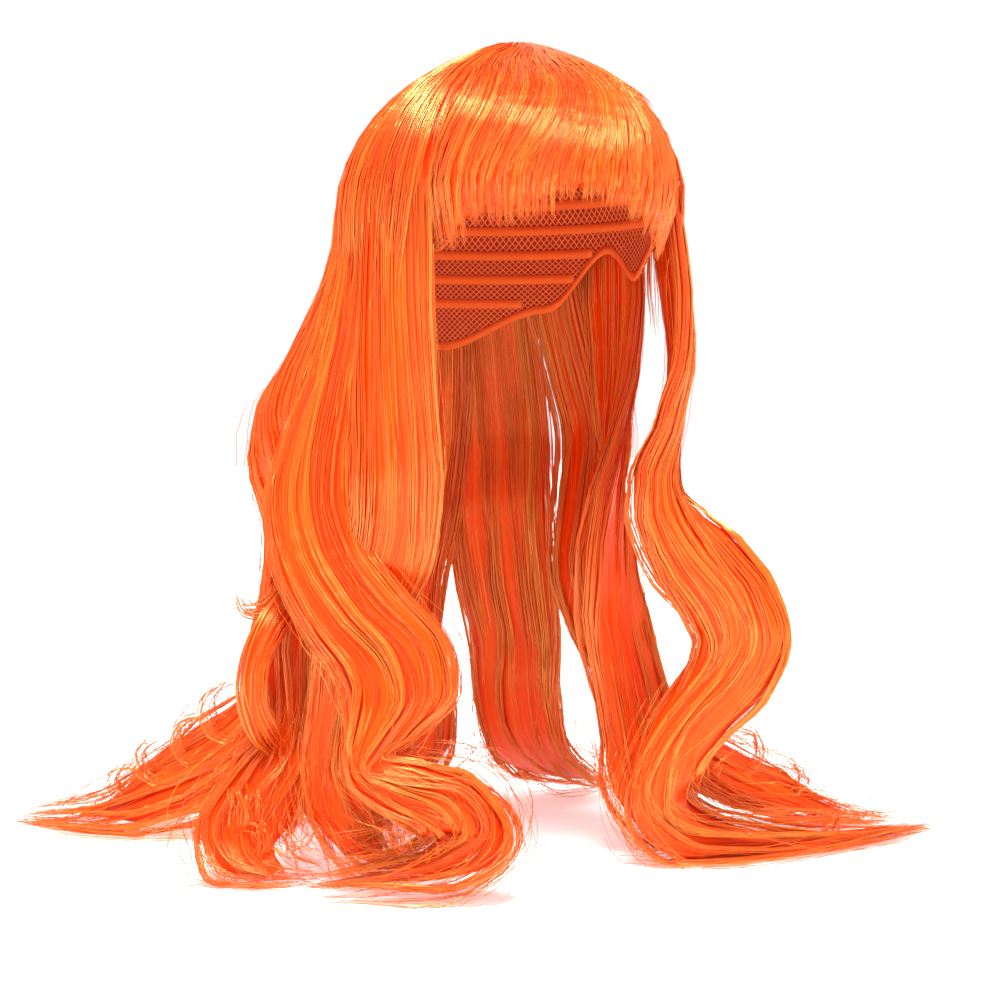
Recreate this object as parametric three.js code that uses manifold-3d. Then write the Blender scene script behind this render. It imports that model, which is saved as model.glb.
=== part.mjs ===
// Long waved costume wig with a full fringe: a net cap, crown hair, a fringe and nine long tresses.
// Millimetres, +Z up. The origin is the inside top of the cap, where it sits on the top of the head.
// The face looks along -Y and the wearer's left is +X.

import * as THREE from 'three';
import { mergeVertices } from 'three/addons/utils/BufferGeometryUtils.js';
import Module from 'manifold-3d';

const wasm = await Module();
wasm.setup();

// Head that the cap fits: an egg that is widest at HEAD_RISE below its top
const HEAD_BREADTH = 152;
const HEAD_LENGTH = 190;
const HEAD_RISE = 95;
const NAPE_TAPER = 0.1;
const HEAD_ROOM_DROP = 170;

// Cap and hair
const CAP_WALL = 2;
const PIECE_GAP = 0.3;
const HAIR_TOP = 11;
const HAIR_SIDE = 22;
const HAIR_END = 23;
const PEAK_HEIGHT = 5;
const CROWN_DEPTH = 90;
const PARTING_DROP = 24;
const FRINGE_BROW = 13;
const FRINGE_FLUTE = 1.6;

// Long hair: how far it falls from the top of the head to the surface that its tips lie on,
// and the width and thickness of one full tress
const FALL = 463;
const TRESS_WIDTH = 68;
const TRESS_THICKNESS = 20;
const WRAP_RADIUS = 95;

// Edges shorter than this, left where two facets nearly meet, are closed up
const SLIVER = 0.04;

const CAP_FACETS = 32;
const CAP_RINGS = 6;
const HEAD_ROOM_RINGS = 2;
const CROWN_FACETS = 32;
const CROWN_RINGS = 7;
const FRINGE_RINGS = 4;
const STATIONS_PER_ROW = 1.4;

// Shares and angles. The peak and the full thickness are at these sweeps; the fringe's outer skin
// thins to FRINGE_TIP_SHARE over this stretch of HEAD_RISE; its parting drops to the crown's rim
// over this many degrees at each end; a lock keeps these shares of its width and thickness at a tip.
const PEAK_SWEEP = 0.2;
const FULL_SWEEP = 0.9;
const FRINGE_TIP_SHARE = 0.25;
const FRINGE_THIN_FROM = 0.7;
const FRINGE_THIN_TO = 1.15;
const END_FLUTE = 0.6;
const PARTING_BEFORE = 8;
const PARTING_BEYOND = 2;
const TIP_WIDTH = 0.15;
const TIP_THICKNESS = 0.4;

const HAIR_COLOUR = 0xff6212;
const SHADED_HAIR_COLOUR = 0xf04a0c;
const CAP_COLOUR = 0xd9480f;

function table(names, rows) {
  return rows.map((row) => Object.fromEntries(names.map((name, i) => [name, row[i]])));
}

function smooth(low, high, value) {
  return THREE.MathUtils.smoothstep(value, low, high);
}

// Value of one column between the rows of a table, place running from 0 at the first row to 1
function column(rows, name, place) {
  const at = THREE.MathUtils.clamp(place, 0, 1) * (rows.length - 1);
  const row = Math.min(Math.floor(at), rows.length - 2);
  return THREE.MathUtils.lerp(rows[row][name], rows[row + 1][name], smooth(0, 1, at - row));
}

// Value of a column for a facing in degrees, 0 at the face and positive to the wearer's left
function aroundHead(rows, name, facing) {
  const turn = THREE.MathUtils.euclideanModulo(facing + 180, 360) - 180;
  const next = rows.findIndex((row) => row.facing >= turn);
  if (next <= 0) {
    return rows[0][name];
  }
  const share = (turn - rows[next - 1].facing) / (rows[next].facing - rows[next - 1].facing);
  return THREE.MathUtils.lerp(rows[next - 1][name], rows[next][name], smooth(0, 1, share));
}

// Sweep is 0 at the top of the head and 1 at its widest level, and grows with depth below that
function sweepAtDrop(drop) {
  if (drop > HEAD_RISE) {
    return drop / HEAD_RISE;
  }
  return Math.acos(1 - drop / HEAD_RISE) / (Math.PI / 2);
}

// Point at a distance off the head's surface
function overHead(facing, sweep, offset) {
  const angle = Math.min(sweep, 1) * Math.PI / 2;
  const below = Math.max(sweep - 1, 0) * HEAD_RISE;
  const reach = Math.sin(angle) * (1 - NAPE_TAPER * below / HEAD_RISE);
  const turn = THREE.MathUtils.degToRad(facing);
  return new THREE.Vector3(
    (HEAD_BREADTH / 2 + offset) * reach * Math.sin(turn),
    -(HEAD_LENGTH / 2 + offset) * reach * Math.cos(turn),
    (HEAD_RISE + offset) * Math.cos(angle) - HEAD_RISE - below,
  );
}

function geometryOf(points, triangles) {
  const geometry = new THREE.BufferGeometry();
  const numbers = points.flatMap((point) => point.toArray());
  geometry.setAttribute('position', new THREE.Float32BufferAttribute(numbers, 3));
  geometry.setIndex(triangles);
  return geometry;
}

function solidOf(geometry) {
  const merged = mergeVertices(geometry, 1e-4);
  return new wasm.Manifold(new wasm.Mesh({
    numProp: 3,
    vertProperties: new Float32Array(merged.attributes.position.array),
    triVerts: new Uint32Array(merged.index.array),
  }));
}

function meshOf(name, solid, colour, roughness) {
  const result = solid.simplify(SLIVER).getMesh();
  const geometry = new THREE.BufferGeometry();
  geometry.setAttribute('position', new THREE.BufferAttribute(new Float32Array(result.vertProperties), 3));
  geometry.setIndex(new THREE.BufferAttribute(new Uint32Array(result.triVerts), 1));
  geometry.computeVertexNormals();
  const material = new THREE.MeshStandardMaterial({ color: colour, roughness, metalness: 0 });
  const mesh = new THREE.Mesh(geometry, material);
  mesh.name = name;
  return mesh;
}

// Two triangles for each cell between ring a and ring b of a grid, wound to face outwards
function stitch(triangles, a, b, count, closed) {
  const cells = closed ? count : count - 1;
  for (let i = 0; i < cells; i += 1) {
    const j = (i + 1) % count;
    triangles.push(a + i, b + i, b + j, a + i, b + j, a + j);
  }
}

// Dome over the whole head: outer skin from the top down to a rim, then the inner skin back up.
// rim(facing) is the drop of the rim; outer and inner give the skins' distances off the head.
function dome(facets, rings, rim, outer, inner) {
  const points = [];
  const triangles = [];
  const skin = (distance) => {
    for (let ring = 1; ring <= rings; ring += 1) {
      for (let i = 0; i < facets; i += 1) {
        const facing = -180 + 360 * i / facets;
        const sweep = sweepAtDrop(rim(facing)) * ring / rings;
        points.push(overHead(facing, sweep, distance(facing, sweep)));
      }
    }
  };
  skin(outer);
  skin(inner);
  const innerStart = rings * facets;
  const outerTop = points.push(overHead(0, 0, outer(0, 0))) - 1;
  const innerTop = points.push(overHead(0, 0, inner(0, 0))) - 1;
  for (let i = 0; i < facets; i += 1) {
    const j = (i + 1) % facets;
    triangles.push(outerTop, i, j);
    triangles.push(innerTop, innerStart + j, innerStart + i);
  }
  for (let ring = 0; ring < rings - 1; ring += 1) {
    stitch(triangles, ring * facets, (ring + 1) * facets, facets, true);
    stitch(triangles, innerStart + (ring + 1) * facets, innerStart + ring * facets, facets, true);
  }
  stitch(triangles, (rings - 1) * facets, innerStart + (rings - 1) * facets, facets, true);
  return solidOf(geometryOf(points, triangles));
}

// Cap: depth of its edge below the top of the head, as a share of HEAD_RISE
const CAP_EDGE = table(['facing', 'drop'], [
  [-180, 1.66],
  [-130, 1.42],
  [-100, 1.05],
  [-80, 1.24],
  [-65, 1.10],
  [-40, 0.60],
  [0, 0.50],
  [40, 0.60],
  [65, 1.10],
  [80, 1.24],
  [100, 1.05],
  [130, 1.42],
  [180, 1.66],
]);

function capEdge(facing) {
  return aroundHead(CAP_EDGE, 'drop', facing) * HEAD_RISE;
}

function makeCap() {
  return dome(CAP_FACETS, CAP_RINGS, capEdge, () => CAP_WALL, () => 0);
}

// Room kept for the head and the cap's wall inside all the hair. Its facets run parallel to the
// cap's, and it goes on below the cap's edge to HEAD_ROOM_DROP.
function makeHeadRoom() {
  const points = [overHead(0, 0, CAP_WALL + PIECE_GAP)];
  const triangles = [];
  const rings = CAP_RINGS + HEAD_ROOM_RINGS;
  for (let ring = 1; ring <= rings; ring += 1) {
    for (let i = 0; i < CAP_FACETS; i += 1) {
      const facing = -180 + 360 * i / CAP_FACETS;
      const edge = sweepAtDrop(capEdge(facing));
      const below = Math.max(ring - CAP_RINGS, 0) / HEAD_ROOM_RINGS;
      const inside = edge * Math.min(ring / CAP_RINGS, 1);
      const sweep = THREE.MathUtils.lerp(inside, sweepAtDrop(HEAD_ROOM_DROP), below);
      points.push(overHead(facing, sweep, CAP_WALL + PIECE_GAP));
    }
  }
  const bottom = points.push(new THREE.Vector3(0, 0, -HEAD_ROOM_DROP)) - 1;
  for (let i = 0; i < CAP_FACETS; i += 1) {
    const j = (i + 1) % CAP_FACETS;
    triangles.push(0, 1 + i, 1 + j);
    triangles.push(bottom, bottom - CAP_FACETS + j, bottom - CAP_FACETS + i);
  }
  for (let ring = 0; ring < rings - 1; ring += 1) {
    stitch(triangles, 1 + ring * CAP_FACETS, 1 + (ring + 1) * CAP_FACETS, CAP_FACETS, true);
  }
  return solidOf(geometryOf(points, triangles));
}

// Fringe: where it ends at each side, and how far each pointed lock and the notch beside it reach,
// as shares of HEAD_RISE
const FRINGE_RIGHT = -64;
const FRINGE_LEFT = 62;
const FRINGE_LOCKS = table(['facing', 'tip', 'notch'], [
  [-58, 1.14, 0.99],
  [-47, 0.99, 0.92],
  [-36, 1.01, 0.90],
  [-26, 0.98, 0.84],
  [-15, 0.89, 0.84],
  [-4, 0.89, 0.84],
  [7, 0.92, 0.87],
  [18, 0.98, 0.91],
  [30, 1.05, 0.97],
  [42, 1.10, 1.02],
  [55, 1.15, 1.06],
]);

// Hair thickness over the cap at a facing and sweep, with the peak where the whorl is
function crownThickness(facing, sweep) {
  const turn = THREE.MathUtils.degToRad(facing);
  const around = THREE.MathUtils.lerp(HAIR_SIDE, HAIR_END, Math.cos(turn) ** 2);
  const peak = PEAK_HEIGHT * Math.exp(-((sweep / PEAK_SWEEP) ** 2));
  return THREE.MathUtils.lerp(HAIR_TOP, around, smooth(0, FULL_SWEEP, sweep)) + peak;
}

function partingDrop(facing) {
  const left = smooth(FRINGE_LEFT - PARTING_BEFORE, FRINGE_LEFT + PARTING_BEYOND, facing);
  const right = smooth(-FRINGE_RIGHT - PARTING_BEFORE, -FRINGE_RIGHT + PARTING_BEYOND, -facing);
  return THREE.MathUtils.lerp(PARTING_DROP, CROWN_DEPTH, Math.max(left, right));
}

// Rim of the crown hair, let out by a clearance downwards and to both sides
function crownRim(facing, clearance) {
  const aside = THREE.MathUtils.radToDeg(4 * clearance / (HEAD_BREADTH / 2));
  return Math.max(partingDrop(facing - aside), partingDrop(facing + aside)) + 2 * clearance;
}

function makeCrown(clearance) {
  const rim = (facing) => crownRim(facing, clearance);
  const outer = (facing, sweep) => CAP_WALL + crownThickness(facing, sweep) + clearance;
  return dome(CROWN_FACETS, CROWN_RINGS, rim, outer, () => CAP_WALL / 2);
}

// Distance of the fringe's outer skin off the head, full at the parting and thin at the tips
function fringeDistance(facing, depth, flute) {
  const sweep = sweepAtDrop(depth);
  const thin = smooth(PARTING_DROP, HEAD_RISE, depth);
  const thickness = THREE.MathUtils.lerp(crownThickness(facing, sweep), FRINGE_BROW, thin);
  return CAP_WALL + thickness - flute * FRINGE_FLUTE * smooth(PARTING_DROP, HEAD_RISE / 2, depth);
}

function fringeColumns() {
  const list = [{ facing: FRINGE_RIGHT, end: FRINGE_LOCKS[0].notch, flute: END_FLUTE }];
  FRINGE_LOCKS.forEach((lock, i) => {
    const next = FRINGE_LOCKS[i + 1] ?? { facing: 2 * FRINGE_LEFT - lock.facing };
    const step = (next.facing - lock.facing) / 2;
    list.push({ facing: lock.facing, end: lock.tip, flute: 0 });
    list.push({ facing: lock.facing + step, end: lock.notch, flute: 1 });
  });
  return list;
}

function makeFringe(clearance) {
  const rings = FRINGE_RINGS;
  const columns = fringeColumns();
  const points = [];
  const triangles = [];
  const top = PARTING_DROP + PIECE_GAP - clearance;
  const skin = (distance) => {
    for (let ring = 0; ring <= rings; ring += 1) {
      columns.forEach((strand, i) => {
        const side = i === 0 ? -1 : Number(i === columns.length - 1);
        const facing = strand.facing + side * clearance;
        const depth = THREE.MathUtils.lerp(top, strand.end * HEAD_RISE + clearance, ring / rings);
        points.push(overHead(facing, sweepAtDrop(depth), distance(facing, depth, strand.flute)));
      });
    }
  };
  const tipBulk = (depth) => THREE.MathUtils.lerp(
    1,
    FRINGE_TIP_SHARE,
    smooth(FRINGE_THIN_FROM * HEAD_RISE, FRINGE_THIN_TO * HEAD_RISE, depth),
  );
  const inner = CAP_WALL / 2;
  skin((facing, depth, flute) => {
    const full = fringeDistance(facing, depth, flute);
    return inner + (full - inner) * tipBulk(depth) + clearance;
  });
  skin(() => inner);
  const count = columns.length;
  const back = (rings + 1) * count;
  for (let ring = 0; ring < rings; ring += 1) {
    const near = ring * count;
    stitch(triangles, near, near + count, count, false);
    stitch(triangles, back + near + count, back + near, count, false);
    triangles.push(near, back + near, back + near + count, near, back + near + count, near + count);
    const last = near + count - 1;
    triangles.push(last, last + count, back + last + count, last, back + last + count, back + last);
  }
  stitch(triangles, back, 0, count, false);
  stitch(triangles, rings * count, back + rings * count, count, false);
  return solidOf(geometryOf(points, triangles));
}

// Tresses. Each row is a place along a tress: drop below the top of the head as a share of FALL,
// side and back as shares of half the head's breadth and length, width and thickness as shares of
// TRESS_WIDTH and TRESS_THICKNESS, the facing of its outer side in degrees, and how far it lies
// over on its back, 0 hanging and 1 flat on the surface.
const ROUTE = ['drop', 'side', 'back', 'width', 'thick', 'facing', 'lie'];

const RIGHT_FRONT = table(ROUTE, [
  [0.155, -1.16, -0.25, 0.76, 0.70, -72, 0],
  [0.27, -1.18, -0.26, 0.80, 0.75, -68, 0],
  [0.36, -1.20, -0.28, 0.82, 0.75, -60, 0],
  [0.44, -1.20, -0.30, 0.82, 0.70, -50, 0],
  [0.51, -1.20, -0.31, 0.82, 0.70, -44, 0],
  [0.585, -1.20, -0.24, 0.80, 0.70, -40, 0],
  [0.655, -1.26, -0.07, 0.75, 0.70, -35, 0],
  [0.725, -1.31, 0.08, 0.72, 0.75, -30, 0],
  [0.79, -1.36, 0.15, 0.65, 0.80, -30, 0],
  [0.85, -1.40, 0.16, 0.65, 0.80, -30, 0.1],
  [0.90, -1.38, 0.10, 0.70, 0.70, -30, 0.2],
  [0.94, -1.30, 0.00, 0.65, 0.60, -30, 0.4],
  [0.975, -1.20, -0.14, 0.50, 0.50, -30, 0.6],
  [0.988, -1.15, -0.30, 0.35, 0.35, -30, 0.8],
]);

const RIGHT_SIDE = table(ROUTE, [
  [0.155, -1.12, 0.26, 0.76, 0.70, -100, 0],
  [0.27, -1.19, 0.26, 0.82, 0.80, -92, 0],
  [0.36, -1.33, 0.23, 0.85, 0.80, -78, 0],
  [0.44, -1.50, 0.20, 0.88, 0.80, -62, 0],
  [0.53, -1.63, 0.14, 0.92, 0.80, -46, 0],
  [0.60, -1.62, -0.03, 0.92, 0.80, -35, 0],
  [0.66, -1.49, -0.25, 0.94, 0.80, -30, 0],
  [0.71, -1.31, -0.44, 0.98, 0.85, -26, 0],
  [0.76, -1.27, -0.50, 0.92, 0.90, -26, 0],
  [0.805, -1.40, -0.46, 0.68, 0.95, -30, 0],
  [0.84, -1.48, -0.43, 0.52, 1.00, -30, 0.1],
  [0.862, -1.28, -0.57, 0.60, 0.90, -30, 0.2],
  [0.885, -1.00, -0.72, 0.70, 0.80, -29, 0.3],
  [0.918, -0.89, -0.77, 0.80, 0.75, -29, 0.35],
  [0.946, -1.02, -0.67, 0.74, 0.65, -29, 0.4],
  [0.967, -1.38, -0.46, 0.62, 0.55, -29, 0.5],
  [0.982, -1.85, -0.22, 0.48, 0.45, -29, 0.6],
]);

const RIGHT_BACK = table(ROUTE, [
  [0.155, -0.92, 0.70, 0.78, 0.70, -128, 0],
  [0.26, -1.03, 0.77, 0.86, 0.80, -120, 0],
  [0.34, -1.28, 0.78, 0.90, 0.80, -100, 0],
  [0.42, -1.53, 0.78, 0.88, 0.75, -80, 0],
  [0.49, -1.52, 0.72, 0.86, 0.75, -60, 0],
  [0.56, -1.42, 0.62, 0.82, 0.80, -50, 0],
  [0.64, -1.46, 0.55, 0.78, 0.80, -45, 0],
  [0.72, -1.56, 0.52, 0.78, 0.80, -40, 0],
  [0.79, -1.58, 0.48, 0.66, 0.85, -35, 0],
  [0.84, -1.66, 0.45, 0.62, 0.85, -30, 0.1],
  [0.88, -1.83, 0.42, 0.78, 0.75, -29, 0.2],
  [0.93, -2.02, 0.42, 0.90, 0.70, -29, 0.3],
  [0.965, -2.03, 0.30, 0.84, 0.60, -29, 0.4],
  [0.982, -1.84, 0.16, 0.60, 0.50, -29, 0.5],
  [0.985, -1.60, 0.08, 0.42, 0.40, -29, 0.6],
]);

const RIGHT_LOOP = table(ROUTE, [
  [0.635, -1.48, 0.55, 0.42, 0.75, -40, 0],
  [0.66, -1.66, 0.43, 0.44, 0.75, -35, 0],
  [0.69, -1.84, 0.36, 0.44, 0.75, -30, 0],
  [0.73, -1.96, 0.34, 0.42, 0.70, -29, 0],
  [0.775, -1.98, 0.34, 0.42, 0.70, -29, 0],
  [0.815, -1.88, 0.36, 0.45, 0.75, -29, 0],
  [0.845, -1.70, 0.44, 0.50, 0.75, -29, 0],
]);

const RIGHT_FLICK = table(ROUTE, [
  [0.60, -1.50, 0.55, 0.32, 0.60, -45, 0],
  [0.635, -1.62, 0.50, 0.30, 0.50, -40, 0],
  [0.665, -1.80, 0.50, 0.28, 0.40, -35, 0],
  [0.665, -1.93, 0.53, 0.22, 0.35, -30, 0],
  [0.645, -1.98, 0.56, 0.15, 0.30, -30, 0],
]);

const BACK_RIGHT = table(ROUTE, [
  [0.155, -0.48, 1.04, 0.78, 0.70, -155, 0],
  [0.26, -0.54, 1.17, 0.90, 0.80, -155, 0],
  [0.35, -0.68, 1.28, 1.00, 0.80, -150, 0],
  [0.45, -0.82, 1.34, 1.05, 0.75, -142, 0],
  [0.54, -0.88, 1.36, 1.05, 0.75, -138, 0],
  [0.62, -1.00, 1.36, 1.05, 0.70, -130, 0],
  [0.70, -1.14, 1.42, 1.05, 0.70, -118, 0],
  [0.78, -1.20, 1.52, 1.05, 0.70, -102, 0],
  [0.85, -1.32, 1.64, 1.05, 0.70, -78, 0.2],
  [0.90, -1.62, 1.84, 1.05, 0.65, -52, 0.4],
  [0.945, -2.02, 2.08, 1.00, 0.55, -40, 0.6],
  [0.98, -2.42, 2.36, 0.75, 0.40, -35, 0.8],
  [0.99, -2.90, 2.72, 0.40, 0.30, -30, 0.9],
]);

const BACK = table(ROUTE, [
  [0.155, 0.00, 1.15, 0.78, 0.70, -180, 0],
  [0.27, 0.02, 1.24, 0.95, 0.80, -180, 0],
  [0.37, 0.08, 1.38, 1.05, 0.80, -182, 0],
  [0.47, 0.10, 1.47, 1.10, 0.75, -180, 0],
  [0.56, 0.00, 1.45, 1.10, 0.75, -178, 0],
  [0.65, -0.10, 1.52, 1.10, 0.70, -178, 0],
  [0.74, -0.08, 1.62, 1.12, 0.70, -180, 0],
  [0.82, 0.06, 1.66, 1.12, 0.70, -182, 0],
  [0.90, 0.12, 1.80, 1.15, 0.65, -180, 0.3],
  [0.95, 0.04, 2.10, 1.05, 0.50, -180, 0.6],
  [0.98, -0.12, 2.50, 0.75, 0.40, -180, 0.8],
  [0.99, -0.20, 2.85, 0.40, 0.30, -180, 0.9],
]);

const BACK_LEFT = table(ROUTE, [
  [0.155, 0.48, 1.04, 0.78, 0.70, 155, 0],
  [0.26, 0.54, 1.16, 0.90, 0.80, 155, 0],
  [0.36, 0.68, 1.27, 1.00, 0.80, 150, 0],
  [0.46, 0.78, 1.32, 1.02, 0.75, 146, 0],
  [0.56, 0.76, 1.28, 1.02, 0.75, 142, 0],
  [0.65, 0.86, 1.33, 1.02, 0.70, 138, 0],
  [0.74, 1.02, 1.40, 1.02, 0.70, 132, 0],
  [0.82, 1.06, 1.45, 1.02, 0.70, 128, 0],
  [0.89, 1.22, 1.56, 1.02, 0.65, 128, 0.3],
  [0.945, 1.60, 1.74, 0.95, 0.50, 130, 0.6],
  [0.98, 2.10, 1.92, 0.68, 0.40, 130, 0.8],
  [0.99, 2.50, 2.02, 0.38, 0.30, 130, 0.9],
]);

const LEFT_BACK = table(ROUTE, [
  [0.155, 0.92, 0.70, 0.78, 0.70, 128, 0],
  [0.27, 1.08, 0.78, 0.88, 0.80, 124, 0],
  [0.37, 1.26, 0.80, 0.92, 0.75, 115, 0],
  [0.46, 1.36, 0.76, 0.95, 0.75, 108, 0],
  [0.56, 1.28, 0.75, 0.95, 0.70, 102, 0],
  [0.64, 1.22, 0.76, 0.95, 0.70, 95, 0],
  [0.72, 1.31, 0.70, 0.92, 0.70, 85, 0],
  [0.80, 1.51, 0.56, 0.88, 0.65, 70, 0],
  [0.87, 1.78, 0.41, 0.85, 0.60, 45, 0.2],
  [0.91, 2.14, 0.28, 0.85, 0.50, 20, 0.4],
  [0.945, 2.62, 0.15, 0.78, 0.45, 0, 0.6],
  [0.98, 3.15, 0.02, 0.55, 0.35, -10, 0.8],
  [0.99, 3.60, -0.14, 0.32, 0.30, -20, 0.9],
]);

const LEFT_SIDE = table(ROUTE, [
  [0.155, 1.12, 0.26, 0.76, 0.70, 100, 0],
  [0.27, 1.16, 0.28, 0.88, 0.80, 96, 0],
  [0.36, 1.16, 0.26, 0.92, 0.75, 84, 0],
  [0.45, 1.12, 0.24, 0.94, 0.75, 68, 0],
  [0.54, 1.08, 0.21, 0.94, 0.70, 45, 0],
  [0.62, 1.06, 0.18, 0.92, 0.70, 26, 0],
  [0.70, 1.08, 0.13, 0.90, 0.70, 12, 0],
  [0.77, 1.12, 0.06, 0.85, 0.70, 2, 0],
  [0.84, 1.17, -0.01, 0.80, 0.70, -5, 0],
  [0.90, 1.20, -0.05, 0.78, 0.65, -10, 0.2],
  [0.945, 1.35, -0.09, 0.72, 0.55, -15, 0.4],
  [0.975, 1.68, -0.13, 0.58, 0.45, -22, 0.7],
  [0.988, 2.12, -0.22, 0.36, 0.30, -29, 0.9],
]);

const LEFT_FRONT = table(ROUTE, [
  [0.155, 1.17, -0.26, 0.76, 0.70, 74, 0],
  [0.27, 1.23, -0.34, 0.76, 0.75, 69, 0],
  [0.35, 1.24, -0.37, 0.76, 0.75, 62, 0],
  [0.44, 1.13, -0.40, 0.80, 0.70, 48, 0],
  [0.51, 1.00, -0.44, 0.84, 0.70, 32, 0],
  [0.56, 1.05, -0.52, 0.88, 0.70, 12, 0],
  [0.61, 1.22, -0.62, 0.92, 0.70, -5, 0],
  [0.66, 1.44, -0.69, 0.92, 0.70, -15, 0],
  [0.71, 1.56, -0.70, 0.90, 0.70, -25, 0],
  [0.76, 1.47, -0.64, 0.80, 0.75, -29, 0],
  [0.81, 1.23, -0.56, 0.65, 0.80, -29, 0],
  [0.86, 1.06, -0.51, 0.62, 0.80, -29, 0.1],
  [0.91, 1.02, -0.46, 0.72, 0.75, -29, 0.2],
  [0.95, 1.20, -0.46, 0.76, 0.60, -29, 0.4],
  [0.975, 1.75, -0.50, 0.64, 0.50, -29, 0.6],
  [0.988, 2.60, -0.52, 0.50, 0.40, -29, 0.8],
  [0.99, 3.68, -0.46, 0.28, 0.30, -29, 0.9],
]);

// Section of a tress, from edge to edge over its outer side and back underneath: three strands side
// by side. Places are shares of the half width across and of the half thickness outwards.
const TRESS_SECTION = table(['across', 'out'], [
  [-1, 0],
  [-0.72, 0.78],
  [-0.36, 0.62],
  [0, 1.15],
  [0.36, 0.62],
  [0.72, 0.78],
  [1, 0],
  [0.55, -0.75],
  [0, -0.95],
  [-0.55, -0.75],
]);
const LOCK_SECTION = table(['across', 'out'], [
  [-1, 0],
  [-0.5, 0.8],
  [0.5, 0.8],
  [1, 0],
  [0.5, -0.8],
  [-0.5, -0.8],
]);

// The two side tips that leave a tress near its end: shift and width as shares of the tress's
// width, rise as a share of its thickness, and the stretch of the tress that they follow
const SIDE_TIPS = table(['shift', 'width', 'rise', 'from', 'to'], [
  [-0.36, 0.34, 0.12, 0.72, 0.97],
  [0.38, 0.32, 0.08, 0.66, 0.93],
]);

// Middle line of a route, with the directions across it and out of it. They follow the general run
// of the hair over CALM of its length, so that its strands stay side by side round a tight curl.
const CALM = 0.12;

function frameAlong(rows, route, place) {
  const ahead = route.getPoint(Math.min(place + CALM, 1));
  const behind = route.getPoint(Math.max(place - CALM, 0));
  const along = ahead.sub(behind).normalize();
  const turn = THREE.MathUtils.degToRad(column(rows, 'facing', place));
  const lie = column(rows, 'lie', place) * Math.PI / 2;
  const out = new THREE.Vector3(
    Math.sin(turn) * Math.cos(lie),
    -Math.cos(turn) * Math.cos(lie),
    Math.sin(lie),
  );
  out.addScaledVector(along, -out.dot(along)).normalize();
  return { point: route.getPoint(place), out, across: new THREE.Vector3().crossVectors(along, out) };
}

// A section carried along a route from one place to another, tapering to its tip
function makeLock(rows, section, part, clearance) {
  const route = new THREE.CatmullRomCurve3(rows.map((row) => new THREE.Vector3(
    row.side * HEAD_BREADTH / 2,
    row.back * HEAD_LENGTH / 2,
    -row.drop * FALL,
  )));
  const stations = Math.ceil((rows.length - 1) * (part.to - part.from) * STATIONS_PER_ROW);
  const count = section.length;
  const points = [];
  const triangles = [];
  for (let station = 0; station <= stations; station += 1) {
    const share = station / stations;
    const place = THREE.MathUtils.lerp(part.from, part.to, share);
    const frame = frameAlong(rows, route, place);
    const width = column(rows, 'width', place) * TRESS_WIDTH;
    const taper = Math.max(Math.sqrt(1 - smooth(part.tipFrom, 1, share) ** 2), TIP_WIDTH);
    const half = part.width * width / 2 * taper + clearance;
    const thickness = column(rows, 'thick', place) * TRESS_THICKNESS;
    const bulk = thickness / 2 * Math.max(taper, TIP_THICKNESS) + clearance;
    section.forEach((corner) => {
      const across = part.shift * width + corner.across * half;
      const out = corner.out * bulk + part.rise * thickness - across ** 2 / (2 * WRAP_RADIUS);
      const point = frame.point.clone();
      point.addScaledVector(frame.across, across).addScaledVector(frame.out, out);
      point.z = Math.max(point.z, -FALL);
      points.push(point);
    });
  }
  for (let station = 0; station < stations; station += 1) {
    stitch(triangles, (station + 1) * count, station * count, count, true);
  }
  const last = stations * count;
  for (let corner = 1; corner < count - 1; corner += 1) {
    triangles.push(0, corner + 1, corner);
    triangles.push(last, last + corner, last + corner + 1);
  }
  return solidOf(geometryOf(points, triangles));
}

function makeTress(locks, clearance) {
  const solids = locks.map((lock) => makeLock(lock.rows, lock.section, lock.part, clearance));
  return solids.reduce((joined, solid) => joined.add(solid));
}

function full(rows) {
  const body = { shift: 0, width: 1, rise: 0, from: 0, to: 1, tipFrom: 0.8 };
  const tips = SIDE_TIPS.map((tip) => ({ rows, section: LOCK_SECTION, part: { ...tip, tipFrom: 0.5 } }));
  return [{ rows, section: TRESS_SECTION, part: body }, ...tips];
}

function single(rows) {
  const body = { shift: 0, width: 1, rise: 0, from: 0, to: 1, tipFrom: 0.85 };
  return [{ rows, section: LOCK_SECTION, part: body }];
}

const TRESSES = [
  { name: 'right_side_tress', locks: full(RIGHT_SIDE), colour: HAIR_COLOUR },
  { name: 'right_front_tress', locks: full(RIGHT_FRONT), colour: HAIR_COLOUR },
  {
    name: 'right_back_tress',
    locks: [...full(RIGHT_BACK), ...single(RIGHT_LOOP), ...single(RIGHT_FLICK)],
    colour: HAIR_COLOUR,
  },
  { name: 'left_front_tress', locks: full(LEFT_FRONT), colour: HAIR_COLOUR },
  { name: 'left_side_tress', locks: full(LEFT_SIDE), colour: SHADED_HAIR_COLOUR },
  { name: 'left_back_tress', locks: full(LEFT_BACK), colour: SHADED_HAIR_COLOUR },
  { name: 'back_right_tress', locks: full(BACK_RIGHT), colour: HAIR_COLOUR },
  { name: 'back_left_tress', locks: full(BACK_LEFT), colour: HAIR_COLOUR },
  { name: 'back_tress', locks: full(BACK), colour: HAIR_COLOUR },
];

function largestPiece(solid) {
  const pieces = solid.decompose();
  return pieces.reduce((best, piece) => (piece.volume() > best.volume() ? piece : best));
}

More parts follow.
